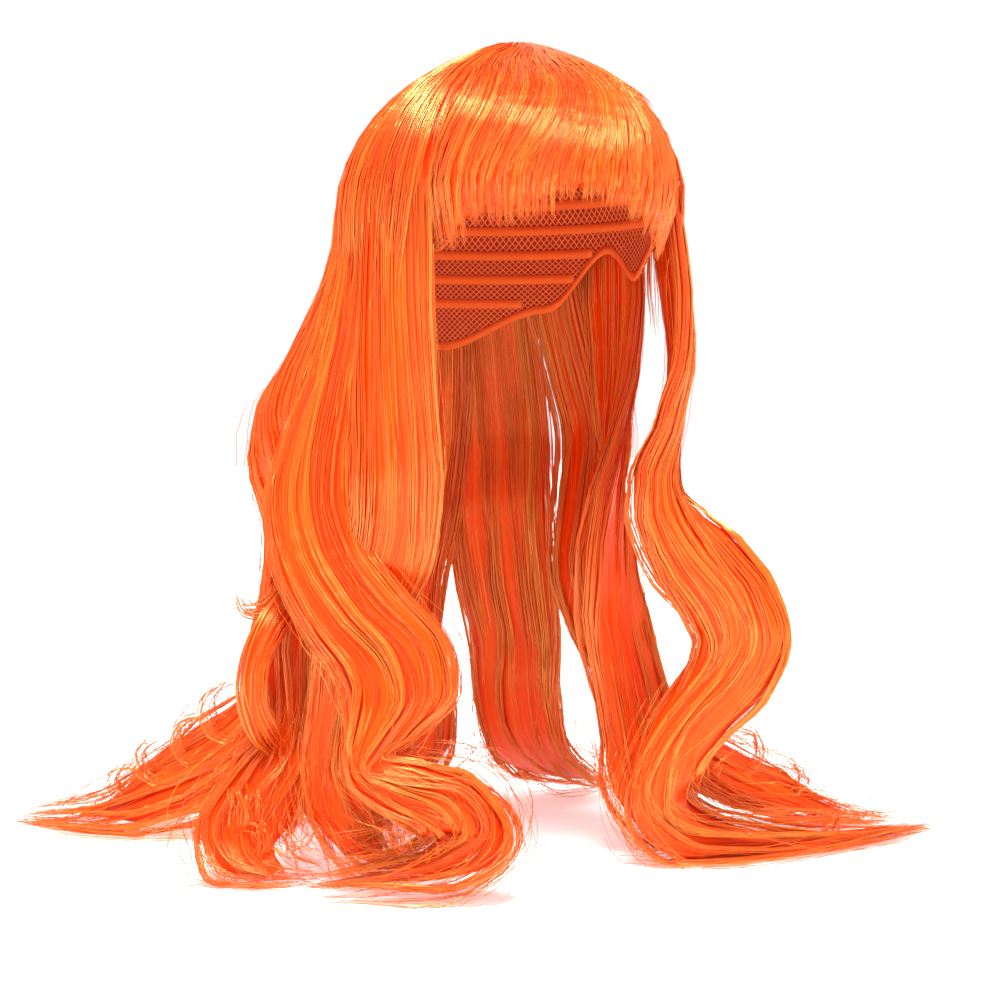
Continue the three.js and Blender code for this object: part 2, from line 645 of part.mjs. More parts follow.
const group = new THREE.Group();
const headRoom = makeHeadRoom();
const crownRoom = makeCrown(PIECE_GAP);
let taken = headRoom.add(crownRoom);
group.add(meshOf('cap', makeCap(), CAP_COLOUR, 0.8));
group.add(meshOf('crown_hair', makeCrown(0).subtract(headRoom), HAIR_COLOUR, 0.45));
group.add(meshOf('fringe', largestPiece(makeFringe(0).subtract(taken)), HAIR_COLOUR, 0.45));
taken = taken.add(makeFringe(PIECE_GAP));
for (const { name, locks, colour } of TRESSES) {
  const tress = largestPiece(makeTress(locks, 0).subtract(taken));
  group.add(meshOf(name, tress, colour, 0.45));
  taken = taken.add(makeTress(locks, PIECE_GAP));
}

export default group;
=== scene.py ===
# %% [markdown]
# # A long waved costume wig
# The wig is a net cap with rows of synthetic fibre sewn to it: crown hair that spreads from a whorl,
# a full fringe, and nine long tresses that hang in waves and lie in curls where they meet the floor.
# It is shown in the form it has when worn, with nothing inside it.
#
# Hair could be a few smooth shapes with a bump texture, or Blender's own hair curves. The first looks
# like plastic at its edges and tips, and the second isn't a mesh, so it can't be exported. Here each
# tress is an inner body for the mass of the hair, and over it a few hundred thin tapering strands that
# one Geometry Nodes tree grows along guide lines.

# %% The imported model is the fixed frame
import math

import bpy
import numpy as np
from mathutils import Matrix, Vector


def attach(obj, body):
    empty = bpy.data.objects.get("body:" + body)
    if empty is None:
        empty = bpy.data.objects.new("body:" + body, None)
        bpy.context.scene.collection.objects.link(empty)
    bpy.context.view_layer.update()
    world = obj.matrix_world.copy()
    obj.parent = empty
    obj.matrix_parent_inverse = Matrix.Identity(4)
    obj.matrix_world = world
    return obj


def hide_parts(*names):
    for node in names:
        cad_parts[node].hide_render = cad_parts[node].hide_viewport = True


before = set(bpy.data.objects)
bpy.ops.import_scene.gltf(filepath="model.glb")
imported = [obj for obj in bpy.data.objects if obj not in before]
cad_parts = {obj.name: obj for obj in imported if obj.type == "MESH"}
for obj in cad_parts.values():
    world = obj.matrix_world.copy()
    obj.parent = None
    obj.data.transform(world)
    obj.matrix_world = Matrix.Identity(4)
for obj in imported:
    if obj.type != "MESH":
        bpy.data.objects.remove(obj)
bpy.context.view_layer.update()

print("frame nodes:", len(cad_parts))

# %% [markdown]
# ## Sizes
# Everything is in metres, with the origin at the inside top of the cap, the face towards -Y and the
# wearer's left at +X. The head that the cap fits is an egg. Long lengths are shares of a few named
# sizes, so the strands lie exactly where the solid tresses of the model are.

# %% Named sizes
HALF_BREADTH = 0.076
HALF_LENGTH = 0.095
HEAD_RISE = 0.095
NAPE_TAPER = 0.1
CAP_WALL = 0.002
HAIR_TOP = 0.011
HAIR_SIDE = 0.022
HAIR_END = 0.023
PEAK_HEIGHT = 0.005
CROWN_DEPTH = 0.090
PARTING_DROP = 0.024
FALL = 0.463
TRESS_WIDTH = 0.068
TRESS_THICKNESS = 0.020
WRAP_RADIUS = 0.095
CALM = 0.12
CROWN_LAYER = 0.001
FLOOR = -FALL
HEAD_MIDDLE = (0, 0, -HEAD_RISE)


def smooth(low, high, value):
    share = np.clip((value - low) / (high - low), 0, 1)
    return share * share * (3 - 2 * share)


def mix(a, b, share):
    return a + (b - a) * share


print("hair falls", FALL, "m and the cap fits a head", 2 * HALF_BREADTH, "m wide")

# %% [markdown]
# ## Colours, nodes and materials
# A colour is written as it looks on a screen and turned to linear light once, by one function. Two more
# functions make a node and a material, because every material starts in the same way.

# %% Colours, nodes and materials
def linear(text):
    parts = [int(text[i:i + 2], 16) / 255 for i in (0, 2, 4)]
    return tuple(c / 12.92 if c <= 0.04045 else ((c + 0.055) / 1.055) ** 2.4 for c in parts) + (1.0,)


def add(tree, kind, values=None, **settings):
    """A node of that kind with its settings; values go to its inputs, as numbers or as links."""
    made = tree.nodes.new(kind)
    for name, value in settings.items():
        setattr(made, name, value)
    for key, value in (values or {}).items():
        if isinstance(value, bpy.types.NodeSocket):
            tree.links.new(value, made.inputs[key])
        else:
            made.inputs[key].default_value = value
    return made


def new_material(name, colour="FFFFFF", roughness=0.9):
    """A material of one colour, with its tree and its shader."""
    made = bpy.data.materials.new(name)
    made.use_nodes = True
    shader = made.node_tree.nodes["Principled BSDF"]
    shader.inputs["Base Color"].default_value = linear(colour)
    shader.inputs["Roughness"].default_value = roughness
    return made, made.node_tree, shader


print("vivid orange in linear light:", [round(c, 3) for c in linear("FF6212")])

# %% [markdown]
# ## The camera
# The photograph was taken from the wearer's right, 29 degrees off the face, from a little above the
# table, with a lens of medium length 1.3 m away.

# %% Camera
AZIMUTH = math.radians(-29)
DISTANCE = 1.300
CAMERA_HEIGHT = -0.179
AIM_ASIDE = 0.012
PITCH = math.radians(2.8)
LENS = 81.3

camera = bpy.data.objects.new("camera", bpy.data.cameras.new("camera"))
bpy.context.scene.collection.objects.link(camera)
camera.data.sensor_width = 36
camera.data.lens = LENS
camera.location = (math.sin(AZIMUTH) * DISTANCE, -math.cos(AZIMUTH) * DISTANCE, CAMERA_HEIGHT)
aside = Vector((math.cos(AZIMUTH), math.sin(AZIMUTH), 0)) * -AIM_ASIDE
aim = Vector((0, 0, CAMERA_HEIGHT - DISTANCE * math.tan(PITCH))) + aside
camera.rotation_euler = (aim - camera.location).to_track_quat("-Z", "Y").to_euler()
bpy.context.scene.camera = camera
print("camera at", [round(c, 3) for c in camera.location])

# %% [markdown]
# ## Where the tresses run
# Each row of a table is a place along one tress: its drop below the top of the head, how far it is
# aside and behind, its width and thickness, which way its outer side faces in degrees, and how far it
# lies over on its back. These are the same numbers that the solid model uses.

# %% Tables of the tresses
RIGHT_FRONT = [
    (0.155, -1.16, -0.25, 0.76, 0.70, -72, 0),
    (0.27, -1.18, -0.26, 0.80, 0.75, -68, 0),
    (0.36, -1.20, -0.28, 0.82, 0.75, -60, 0),
    (0.44, -1.20, -0.30, 0.82, 0.70, -50, 0),
    (0.51, -1.20, -0.31, 0.82, 0.70, -44, 0),
    (0.585, -1.20, -0.24, 0.80, 0.70, -40, 0),
    (0.655, -1.26, -0.07, 0.75, 0.70, -35, 0),
    (0.725, -1.31, 0.08, 0.72, 0.75, -30, 0),
    (0.79, -1.36, 0.15, 0.65, 0.80, -30, 0),
    (0.85, -1.40, 0.16, 0.65, 0.80, -30, 0.1),
    (0.90, -1.38, 0.10, 0.70, 0.70, -30, 0.2),
    (0.94, -1.30, 0.00, 0.65, 0.60, -30, 0.4),
    (0.975, -1.20, -0.14, 0.50, 0.50, -30, 0.6),
    (0.988, -1.15, -0.30, 0.35, 0.35, -30, 0.8),
]
RIGHT_SIDE = [
    (0.155, -1.12, 0.26, 0.76, 0.70, -100, 0),
    (0.27, -1.19, 0.26, 0.82, 0.80, -92, 0),
    (0.36, -1.33, 0.23, 0.85, 0.80, -78, 0),
    (0.44, -1.50, 0.20, 0.88, 0.80, -62, 0),
    (0.53, -1.63, 0.14, 0.92, 0.80, -46, 0),
    (0.60, -1.62, -0.03, 0.92, 0.80, -35, 0),
    (0.66, -1.49, -0.25, 0.94, 0.80, -30, 0),
    (0.71, -1.31, -0.44, 0.98, 0.85, -26, 0),
    (0.76, -1.27, -0.50, 0.92, 0.90, -26, 0),
    (0.805, -1.40, -0.46, 0.68, 0.95, -30, 0),
    (0.84, -1.48, -0.43, 0.52, 1.00, -30, 0.1),
    (0.862, -1.28, -0.57, 0.60, 0.90, -30, 0.2),
    (0.885, -1.00, -0.72, 0.70, 0.80, -29, 0.3),
    (0.918, -0.89, -0.77, 0.80, 0.75, -29, 0.35),
    (0.946, -1.02, -0.67, 0.74, 0.65, -29, 0.4),
    (0.967, -1.38, -0.46, 0.62, 0.55, -29, 0.5),
    (0.982, -1.85, -0.22, 0.48, 0.45, -29, 0.6),
]
RIGHT_BACK = [
    (0.155, -0.92, 0.70, 0.78, 0.70, -128, 0),
    (0.26, -1.03, 0.77, 0.86, 0.80, -120, 0),
    (0.34, -1.28, 0.78, 0.90, 0.80, -100, 0),
    (0.42, -1.53, 0.78, 0.88, 0.75, -80, 0),
    (0.49, -1.52, 0.72, 0.86, 0.75, -60, 0),
    (0.56, -1.42, 0.62, 0.82, 0.80, -50, 0),
    (0.64, -1.46, 0.55, 0.78, 0.80, -45, 0),
    (0.72, -1.56, 0.52, 0.78, 0.80, -40, 0),
    (0.79, -1.58, 0.48, 0.66, 0.85, -35, 0),
    (0.84, -1.66, 0.45, 0.62, 0.85, -30, 0.1),
    (0.88, -1.83, 0.42, 0.78, 0.75, -29, 0.2),
    (0.93, -2.02, 0.42, 0.90, 0.70, -29, 0.3),
    (0.965, -2.03, 0.30, 0.84, 0.60, -29, 0.4),
    (0.982, -1.84, 0.16, 0.60, 0.50, -29, 0.5),
    (0.985, -1.60, 0.08, 0.42, 0.40, -29, 0.6),
]
RIGHT_LOOP = [
    (0.635, -1.48, 0.55, 0.42, 0.75, -40, 0),
    (0.66, -1.66, 0.43, 0.44, 0.75, -35, 0),
    (0.69, -1.84, 0.36, 0.44, 0.75, -30, 0),
    (0.73, -1.96, 0.34, 0.42, 0.70, -29, 0),
    (0.775, -1.98, 0.34, 0.42, 0.70, -29, 0),
    (0.815, -1.88, 0.36, 0.45, 0.75, -29, 0),
    (0.845, -1.70, 0.44, 0.50, 0.75, -29, 0),
]
RIGHT_FLICK = [
    (0.60, -1.50, 0.55, 0.32, 0.60, -45, 0),
    (0.635, -1.62, 0.50, 0.30, 0.50, -40, 0),
    (0.665, -1.80, 0.50, 0.28, 0.40, -35, 0),
    (0.665, -1.93, 0.53, 0.22, 0.35, -30, 0),
    (0.645, -1.98, 0.56, 0.15, 0.30, -30, 0),
]
BACK_RIGHT = [
    (0.155, -0.48, 1.04, 0.78, 0.70, -155, 0),
    (0.26, -0.54, 1.17, 0.90, 0.80, -155, 0),
    (0.35, -0.68, 1.28, 1.00, 0.80, -150, 0),
    (0.45, -0.82, 1.34, 1.05, 0.75, -142, 0),
    (0.54, -0.88, 1.36, 1.05, 0.75, -138, 0),
    (0.62, -1.00, 1.36, 1.05, 0.70, -130, 0),
    (0.70, -1.14, 1.42, 1.05, 0.70, -118, 0),
    (0.78, -1.20, 1.52, 1.05, 0.70, -102, 0),
    (0.85, -1.32, 1.64, 1.05, 0.70, -78, 0.2),
    (0.90, -1.62, 1.84, 1.05, 0.65, -52, 0.4),
    (0.945, -2.02, 2.08, 1.00, 0.55, -40, 0.6),
    (0.98, -2.42, 2.36, 0.75, 0.40, -35, 0.8),
    (0.99, -2.90, 2.72, 0.40, 0.30, -30, 0.9),
]
BACK = [
    (0.155, 0.00, 1.15, 0.78, 0.70, -180, 0),
    (0.27, 0.02, 1.24, 0.95, 0.80, -180, 0),
    (0.37, 0.08, 1.38, 1.05, 0.80, -182, 0),
    (0.47, 0.10, 1.47, 1.10, 0.75, -180, 0),
    (0.56, 0.00, 1.45, 1.10, 0.75, -178, 0),
    (0.65, -0.10, 1.52, 1.10, 0.70, -178, 0),
    (0.74, -0.08, 1.62, 1.12, 0.70, -180, 0),
    (0.82, 0.06, 1.66, 1.12, 0.70, -182, 0),
    (0.90, 0.12, 1.80, 1.15, 0.65, -180, 0.3),
    (0.95, 0.04, 2.10, 1.05, 0.50, -180, 0.6),
    (0.98, -0.12, 2.50, 0.75, 0.40, -180, 0.8),
    (0.99, -0.20, 2.85, 0.40, 0.30, -180, 0.9),
]
BACK_LEFT = [
    (0.155, 0.48, 1.04, 0.78, 0.70, 155, 0),
    (0.26, 0.54, 1.16, 0.90, 0.80, 155, 0),
    (0.36, 0.68, 1.27, 1.00, 0.80, 150, 0),
    (0.46, 0.78, 1.32, 1.02, 0.75, 146, 0),
    (0.56, 0.76, 1.28, 1.02, 0.75, 142, 0),
    (0.65, 0.86, 1.33, 1.02, 0.70, 138, 0),
    (0.74, 1.02, 1.40, 1.02, 0.70, 132, 0),
    (0.82, 1.06, 1.45, 1.02, 0.70, 128, 0),
    (0.89, 1.22, 1.56, 1.02, 0.65, 128, 0.3),
    (0.945, 1.60, 1.74, 0.95, 0.50, 130, 0.6),
    (0.98, 2.10, 1.92, 0.68, 0.40, 130, 0.8),
    (0.99, 2.50, 2.02, 0.38, 0.30, 130, 0.9),
]
LEFT_BACK = [
    (0.155, 0.92, 0.70, 0.78, 0.70, 128, 0),
    (0.27, 1.08, 0.78, 0.88, 0.80, 124, 0),
    (0.37, 1.26, 0.80, 0.92, 0.75, 115, 0),
    (0.46, 1.36, 0.76, 0.95, 0.75, 108, 0),
    (0.56, 1.28, 0.75, 0.95, 0.70, 102, 0),
    (0.64, 1.22, 0.76, 0.95, 0.70, 95, 0),
    (0.72, 1.31, 0.70, 0.92, 0.70, 85, 0),
    (0.80, 1.51, 0.56, 0.88, 0.65, 70, 0),
    (0.87, 1.78, 0.41, 0.85, 0.60, 45, 0.2),
    (0.91, 2.14, 0.28, 0.85, 0.50, 20, 0.4),
    (0.945, 2.62, 0.15, 0.78, 0.45, 0, 0.6),
    (0.98, 3.15, 0.02, 0.55, 0.35, -10, 0.8),
    (0.99, 3.60, -0.14, 0.32, 0.30, -20, 0.9),
]
LEFT_SIDE = [
    (0.155, 1.12, 0.26, 0.76, 0.70, 100, 0),
    (0.27, 1.16, 0.28, 0.88, 0.80, 96, 0),
    (0.36, 1.16, 0.26, 0.92, 0.75, 84, 0),
    (0.45, 1.12, 0.24, 0.94, 0.75, 68, 0),
    (0.54, 1.08, 0.21, 0.94, 0.70, 45, 0),
    (0.62, 1.06, 0.18, 0.92, 0.70, 26, 0),
    (0.70, 1.08, 0.13, 0.90, 0.70, 12, 0),
    (0.77, 1.12, 0.06, 0.85, 0.70, 2, 0),
    (0.84, 1.17, -0.01, 0.80, 0.70, -5, 0),
    (0.90, 1.20, -0.05, 0.78, 0.65, -10, 0.2),
    (0.945, 1.35, -0.09, 0.72, 0.55, -15, 0.4),
    (0.975, 1.68, -0.13, 0.58, 0.45, -22, 0.7),
    (0.988, 2.12, -0.22, 0.36, 0.30, -29, 0.9),
]
LEFT_FRONT = [
    (0.155, 1.17, -0.26, 0.76, 0.70, 74, 0),
    (0.27, 1.23, -0.34, 0.76, 0.75, 69, 0),
    (0.35, 1.24, -0.37, 0.76, 0.75, 62, 0),
    (0.44, 1.13, -0.40, 0.80, 0.70, 48, 0),
    (0.51, 1.00, -0.44, 0.84, 0.70, 32, 0),
    (0.56, 1.05, -0.52, 0.88, 0.70, 12, 0),
    (0.61, 1.22, -0.62, 0.92, 0.70, -5, 0),
    (0.66, 1.44, -0.69, 0.92, 0.70, -15, 0),
    (0.71, 1.56, -0.70, 0.90, 0.70, -25, 0),
    (0.76, 1.47, -0.64, 0.80, 0.75, -29, 0),
    (0.81, 1.23, -0.56, 0.65, 0.80, -29, 0),
    (0.86, 1.06, -0.51, 0.62, 0.80, -29, 0.1),
    (0.91, 1.02, -0.46, 0.72, 0.75, -29, 0.2),
    (0.95, 1.20, -0.46, 0.76, 0.60, -29, 0.4),
    (0.975, 1.75, -0.50, 0.64, 0.50, -29, 0.6),
    (0.988, 2.60, -0.52, 0.50, 0.40, -29, 0.8),
    (0.99, 3.68, -0.46, 0.28, 0.30, -29, 0.9),
]

# Columns of the tables
DROP, SIDE, BEHIND, WIDTH, THICK, FACING, LIE = range(7)
print("rows in all:", sum(map(len, (RIGHT_FRONT, RIGHT_SIDE, RIGHT_BACK, LEFT_FRONT, LEFT_SIDE))))

# %% [markdown]
# ## From a table to a smooth line
# The line through the rows is a centripetal Catmull-Rom spline, which doesn't overshoot where rows lie
# close together. With the line go two directions at each place: across the tress and out of it. They
# follow the general run of the hair, so that strands stay side by side round a tight curl.

# %% Lines, directions and widths along a tress
def line_through(knots, places):
    ends = np.vstack([2 * knots[0] - knots[1], knots, 2 * knots[-1] - knots[-2]])
    at = np.clip(places, 0, 1) * (len(knots) - 1)
    first = np.minimum(at.astype(int), len(knots) - 2)
    share = (at - first)[:, None]
    a, b, c, d = (ends[first + k] for k in range(4))
    spans = ((a, b), (b, c), (c, d))
    before, middle, after = (np.linalg.norm(q - p, axis=1)[:, None] ** 0.5 for p, q in spans)
    start = ((b - a) / before - (c - a) / (before + middle) + (c - b) / middle) * middle
    end = ((c - b) / middle - (d - b) / (middle + after) + (d - c) / after) * middle
    curve = b + start * share + (3 * (c - b) - 2 * start - end) * share ** 2
    return curve + (2 * (b - c) + start + end) * share ** 3


def column(rows, which, places):
    values = np.array([row[which] for row in rows], float)
    at = np.clip(places, 0, 1) * (len(rows) - 1)
    first = np.minimum(at.astype(int), len(rows) - 2)
    return mix(values[first], values[first + 1], smooth(0, 1, at - first))


def unit(vectors):
    return vectors / np.maximum(np.linalg.norm(vectors, axis=1)[:, None], 1e-9)


def square_to(vectors, along):
    """The directions turned until they are square to a line that runs along."""
    return unit(vectors - (vectors * along).sum(1)[:, None] * along)


def knots_of(rows):
    """The rows of a table as points in metres."""
    shares = np.array([(row[SIDE], row[BEHIND], -row[DROP]) for row in rows])
    return shares * [HALF_BREADTH, HALF_LENGTH, FALL]


def tress_line(rows, places):
    """Middle line of a tress, with the unit directions across it and out of it."""
    knots = knots_of(rows)
    along = unit(line_through(knots, places + CALM) - line_through(knots, places - CALM))
    turn = np.radians(column(rows, FACING, places))
    lie = column(rows, LIE, places) * math.pi / 2
    out = np.stack([np.sin(turn) * np.cos(lie), -np.cos(turn) * np.cos(lie), np.sin(lie)], 1)
    out = square_to(out, along)
    return line_through(knots, places), np.cross(along, out), out


LENGTH_COST = 0.3
TURN_COST = 0.7


def places_along(rows, stations):
    """Places along a tress that lie closer together where it curls."""
    fine = np.linspace(0, 1, 500)
    steps = np.diff(tress_line(rows, fine)[0], axis=0)
    lengths = np.linalg.norm(steps, axis=1)
    turns = np.arccos(np.clip((unit(steps)[1:] * unit(steps)[:-1]).sum(1), -1, 1))
    cost = LENGTH_COST * lengths / lengths.sum() + TURN_COST * np.append(turns, 0) / turns.sum()
    return np.interp(np.linspace(0, 1, stations), np.append(0, np.cumsum(cost)) / cost.sum(), fine)


points, across, out = tress_line(RIGHT_SIDE, np.linspace(0, 1, 200))
print("right side tress is", round(float(np.linalg.norm(np.diff(points, axis=0), axis=1).sum()), 3), "m long")

# %% [markdown]
# ## The surface of the head and of the hair round it
# Crown and fringe lie over the egg of the head. Sweep is 0 at the top of the head and 1 at its widest
# level. The hair is thin at the top and full at the sides, with a small peak where the whorl is.

# %% Points over the head
def sweep_at(drop):
    drop = np.asarray(drop, float)
    upper = np.arccos(np.clip(1 - drop / HEAD_RISE, -1, 1)) / (math.pi / 2)
    return np.where(drop > HEAD_RISE, drop / HEAD_RISE, upper)


def over_head(facing, sweep, distance):
    angle = np.minimum(sweep, 1) * math.pi / 2
    below = np.maximum(sweep - 1, 0) * HEAD_RISE
    reach = np.sin(angle) * (1 - NAPE_TAPER * below / HEAD_RISE)
    turn = np.radians(facing)
    return np.stack([
        (HALF_BREADTH + distance) * reach * np.sin(turn),
        -(HALF_LENGTH + distance) * reach * np.cos(turn),
        (HEAD_RISE + distance) * np.cos(angle) - HEAD_RISE - below,
    ], -1)


def crown_thickness(facing, sweep):
    around = mix(HAIR_SIDE, HAIR_END, np.cos(np.radians(facing)) ** 2)
    return mix(HAIR_TOP, around, smooth(0, 0.9, sweep)) + PEAK_HEIGHT * np.exp(-(sweep / 0.2) ** 2)


PARTING_LEFT = 54
PARTING_RIGHT = 56
PARTING_TURN = 10


def parting_drop(facing):
    left = smooth(PARTING_LEFT, PARTING_LEFT + PARTING_TURN, facing)
    right = smooth(PARTING_RIGHT, PARTING_RIGHT + PARTING_TURN, -facing)
    return mix(PARTING_DROP, CROWN_DEPTH, np.maximum(left, right))


print("hair is", float(crown_thickness(90, 0.95)), "m thick at the side of the head")

# %% [markdown]
# ## Material of the hair
# The fibre is modacrylic, a plastic drawn into filaments and set in waves with steam. It has a satin
# gloss: white light glances off each filament as a pale gold streak over the dyed orange. Fibres
# differ a little in tone, and so do locks, so each strand carries a number for its tone and a ramp
# turns that into the dye. The index of refraction is set above that of the plastic, because a tube
# stands for a few filaments and catches as much light as all of them. A tube's own shape makes its
# streak, so the fibre needs no bump.

# %% Hair fibre
GLOSS_TINT = "FFE08C"
FIBRE_REFRACTION = 2.1
FIBRE_ROUGHNESS = 0.28


def satin(shader, roughness, ior):
    shader.inputs["Roughness"].default_value = roughness
    shader.inputs["IOR"].default_value = ior
    shader.inputs["Specular IOR Level"].default_value = 1.0
    shader.inputs["Specular Tint"].default_value = linear(GLOSS_TINT)


def dye_ramp(tree, fac, shades):
    ramp = add(tree, "ShaderNodeValToRGB", {"Fac": fac})
    while len(ramp.color_ramp.elements) < len(shades):
        ramp.color_ramp.elements.new(0.5)
    for element, (place, colour) in zip(ramp.color_ramp.elements, shades):
        element.position = place
        element.color = linear(colour)
    return ramp.outputs["Color"]


def hair_material(name, shades):
    made, tree, shader = new_material(name)
    satin(shader, FIBRE_ROUGHNESS, FIBRE_REFRACTION)
    tone = add(tree, "ShaderNodeAttribute", attribute_name="tone")
    dye = dye_ramp(tree, tone.outputs["Fac"], shades)
    tree.links.new(dye, shader.inputs["Base Color"])
    return made


FIBRE_SHADES = ((0.1, "F22C00"), (0.38, "F84600"), (0.66, "FA5E04"), (0.92, "FC8622"))
fibre = hair_material("modacrylic fibre, satin", FIBRE_SHADES)
print("material:", fibre.name)

# %% [markdown]
# ## The tree that grows strands
# A guide is a line with three arrows at each point: half the width across, half the thickness
# outwards, and how far the wave swings off the straight. The tree copies each guide as many times as
# there are strands, moves each copy to its own place between the arrows, draws neighbours together
# into locks towards the tips, adds a slow drift to each lock and a fine frizz to each strand, trims
# the ends unevenly, and gives each line a thin three-sided tube that tapers to its tip. Most strands
# go to the outer side of a tress, where they are seen. "Inner side" is the share that goes within:
# small in front, and large behind, where the opening shows the tresses from inside.

# %% Geometry Nodes: strands along guides
RIDGE_PACE = 8.7
RIDGE_RISE = 0.16
RIDGE_BASE = 0.88
TO_THE_SKIN = 0.35
LOCK_REACH = 1.05
TIP_FROM = 0.82
TIP_WIDTH = 0.2
LOWEST_LAYER = 0.0004
HIGHEST_LAYER = 0.004


def strand_tree():
    tree = bpy.data.node_groups.new("strands along guides", "GeometryNodeTree")
    tree.interface.new_socket("Geometry", in_out="OUTPUT", socket_type="NodeSocketGeometry")
    tree.interface.new_socket("Guides", in_out="INPUT", socket_type="NodeSocketGeometry")
    sizes = (
        ("Strands", "Int", 100), ("All strands", "Int", 100), ("Locks", "Int", 8), ("Seed", "Int", 1),
        ("Strand width", "Float", 0.0009), ("Gather", "Float", 0.5), ("Spread", "Float", 1.0),
        ("Drift", "Float", 0.004), ("Frizz", "Float", 0.001), ("Swing", "Float", 0.12),
        ("Cut", "Float", 0.12), ("Late start", "Float", 0.0), ("Inner side", "Float", 0.7),
        ("Floor", "Float", FLOOR),
    )
    for name, kind, value in sizes:
        socket = tree.interface.new_socket(name, in_out="INPUT", socket_type="NodeSocket" + kind)
        socket.default_value = value
    tree.interface.new_socket("Material", in_out="INPUT", socket_type="NodeSocketMaterial")
    given = add(tree, "NodeGroupInput").outputs

    def number(operation, *values):
        return add(tree, "ShaderNodeMath", dict(enumerate(values)), operation=operation).outputs[0]

    def times(a, b):
        return number("MULTIPLY", a, b)

    def plus(a, b):
        return number("ADD", a, b)

    def arrow(operation, *values):
        made = add(tree, "ShaderNodeVectorMath", operation=operation)
        for key, value in enumerate(values):
            socket = made.inputs["Scale"] if operation == "SCALE" and key == 1 else made.inputs[key]
            if isinstance(value, bpy.types.NodeSocket):
                tree.links.new(value, socket)
            else:
                socket.default_value = value
        return made.outputs[0]

    def stored(name, kind="FLOAT"):
        made = add(tree, "GeometryNodeInputNamedAttribute", data_type=kind)
        made.inputs["Name"].default_value = name
        return made.outputs[0]

    def store(geometry, name, value, kind="FLOAT", domain="POINT"):
        values = {"Geometry": geometry, "Name": name, "Value": value}
        made = add(tree, "GeometryNodeStoreNamedAttribute", values, data_type=kind, domain=domain)
        return made.outputs[0]

    lines = add(tree, "GeometryNodeMeshToCurve", {"Mesh": given["Guides"]}).outputs["Curve"]
    amount = number("ROUND", times(given["Strands"], stored("share")))
    copies = {"Geometry": lines, "Amount": amount}
    copied = add(tree, "GeometryNodeDuplicateElements", copies, domain="SPLINE")
    index = plus(copied.outputs["Duplicate Index"], stored("first"))
    place = stored("place")

    def chance(low, high, order, of=index):
        seed = plus(given["Seed"], order)
        made = add(tree, "FunctionNodeRandomValue", data_type="FLOAT")
        for socket, value in ((2, low), (3, high)):
            if isinstance(value, bpy.types.NodeSocket):
                tree.links.new(value, made.inputs[socket])
            else:
                made.inputs[socket].default_value = value
        tree.links.new(of, made.inputs["ID"])
        tree.links.new(seed, made.inputs["Seed"])
        return made.outputs[1]

    # Even places across the tress, and places near its outer or inner side
    golden = number("FRACT", number("MULTIPLY_ADD", index, 0.6180339, chance(0, 0.02, 1)))
    own_side = number("MULTIPLY_ADD", golden, 2.0, -1.0)
    depth = chance(times(given["Inner side"], -1.0), 1.0, 2)
    inside = number("MINIMUM", number("ABSOLUTE", depth), 1.0)
    own_depth = times(number("SIGN", depth), number("POWER", inside, TO_THE_SKIN))

    # The lock that a strand belongs to, and how strongly it is drawn to the middle of it
    cell = number("FLOOR", times(golden, given["Locks"]))
    outer = number("GREATER_THAN", depth, 0.0)
    lock = plus(number("MULTIPLY_ADD", outer, 50.0, cell), times(stored("guide"), 100.0))
    shift = chance(-0.35, 0.35, 3, lock)
    middle = number("DIVIDE", plus(plus(cell, 0.5), shift), given["Locks"])
    lock_side = number("MULTIPLY_ADD", middle, 2.0, -1.0)
    lock_depth = number("MULTIPLY_ADD", outer, 2 * LOCK_REACH, -LOCK_REACH)
    reach = {"Value": place, "From Min": 0.1, "From Max": 1.0}
    pull_map = add(tree, "ShaderNodeMapRange", reach, interpolation_type="SMOOTHSTEP")
    pull = times(pull_map.outputs["Result"], given["Gather"])
    side = plus(own_side, times(number("SUBTRACT", lock_side, own_side), pull))
    rise = plus(own_depth, times(number("SUBTRACT", lock_depth, own_depth), pull))

    # A lens section with three soft ridges, bent round the body
    square = times(side, side)
    lens = number("SQRT", number("MAXIMUM", number("SUBTRACT", 1.02, square), 0.02))
    ridges = number("MULTIPLY_ADD", number("COSINE", times(side, RIDGE_PACE)), RIDGE_RISE, RIDGE_BASE)
    height = times(times(rise, lens), ridges)
    sideways = arrow("SCALE", stored("across", "FLOAT_VECTOR"), times(side, given["Spread"]))
    outwards = arrow("SCALE", stored("outward", "FLOAT_VECTOR"), times(height, given["Spread"]))
    offset = arrow("ADD", sideways, outwards)
    offset = arrow("ADD", offset, arrow("SCALE", stored("bend", "FLOAT_VECTOR"), square))
    swing = times(chance(-1, 1, 4, lock), given["Swing"])
    offset = arrow("ADD", offset, arrow("SCALE", stored("wave", "FLOAT_VECTOR"), swing))

    # Slow drift of each lock and fine frizz of each strand, both growing towards the tips
    grow = number("MULTIPLY_ADD", number("POWER", place, 1.3), 0.9, 0.1)
    for key, size, pace, order in ((lock, "Drift", 5.0, 11.0), (index, "Frizz", 14.0, 23.0)):
        spot = {0: times(place, pace), 1: times(key, 3.17), 2: plus(given["Seed"], order)}
        where = add(tree, "ShaderNodeCombineXYZ", spot).outputs[0]
        values = {"Vector": where, "Scale": 1.0, "Detail": 1.0}
        cloud = add(tree, "ShaderNodeTexNoise", values, noise_dimensions="3D")
        centred = arrow("SUBTRACT", cloud.outputs["Color"], (0.5, 0.5, 0.5))
        offset = arrow("ADD", offset, arrow("SCALE", centred, times(times(grow, given[size]), 4.0)))

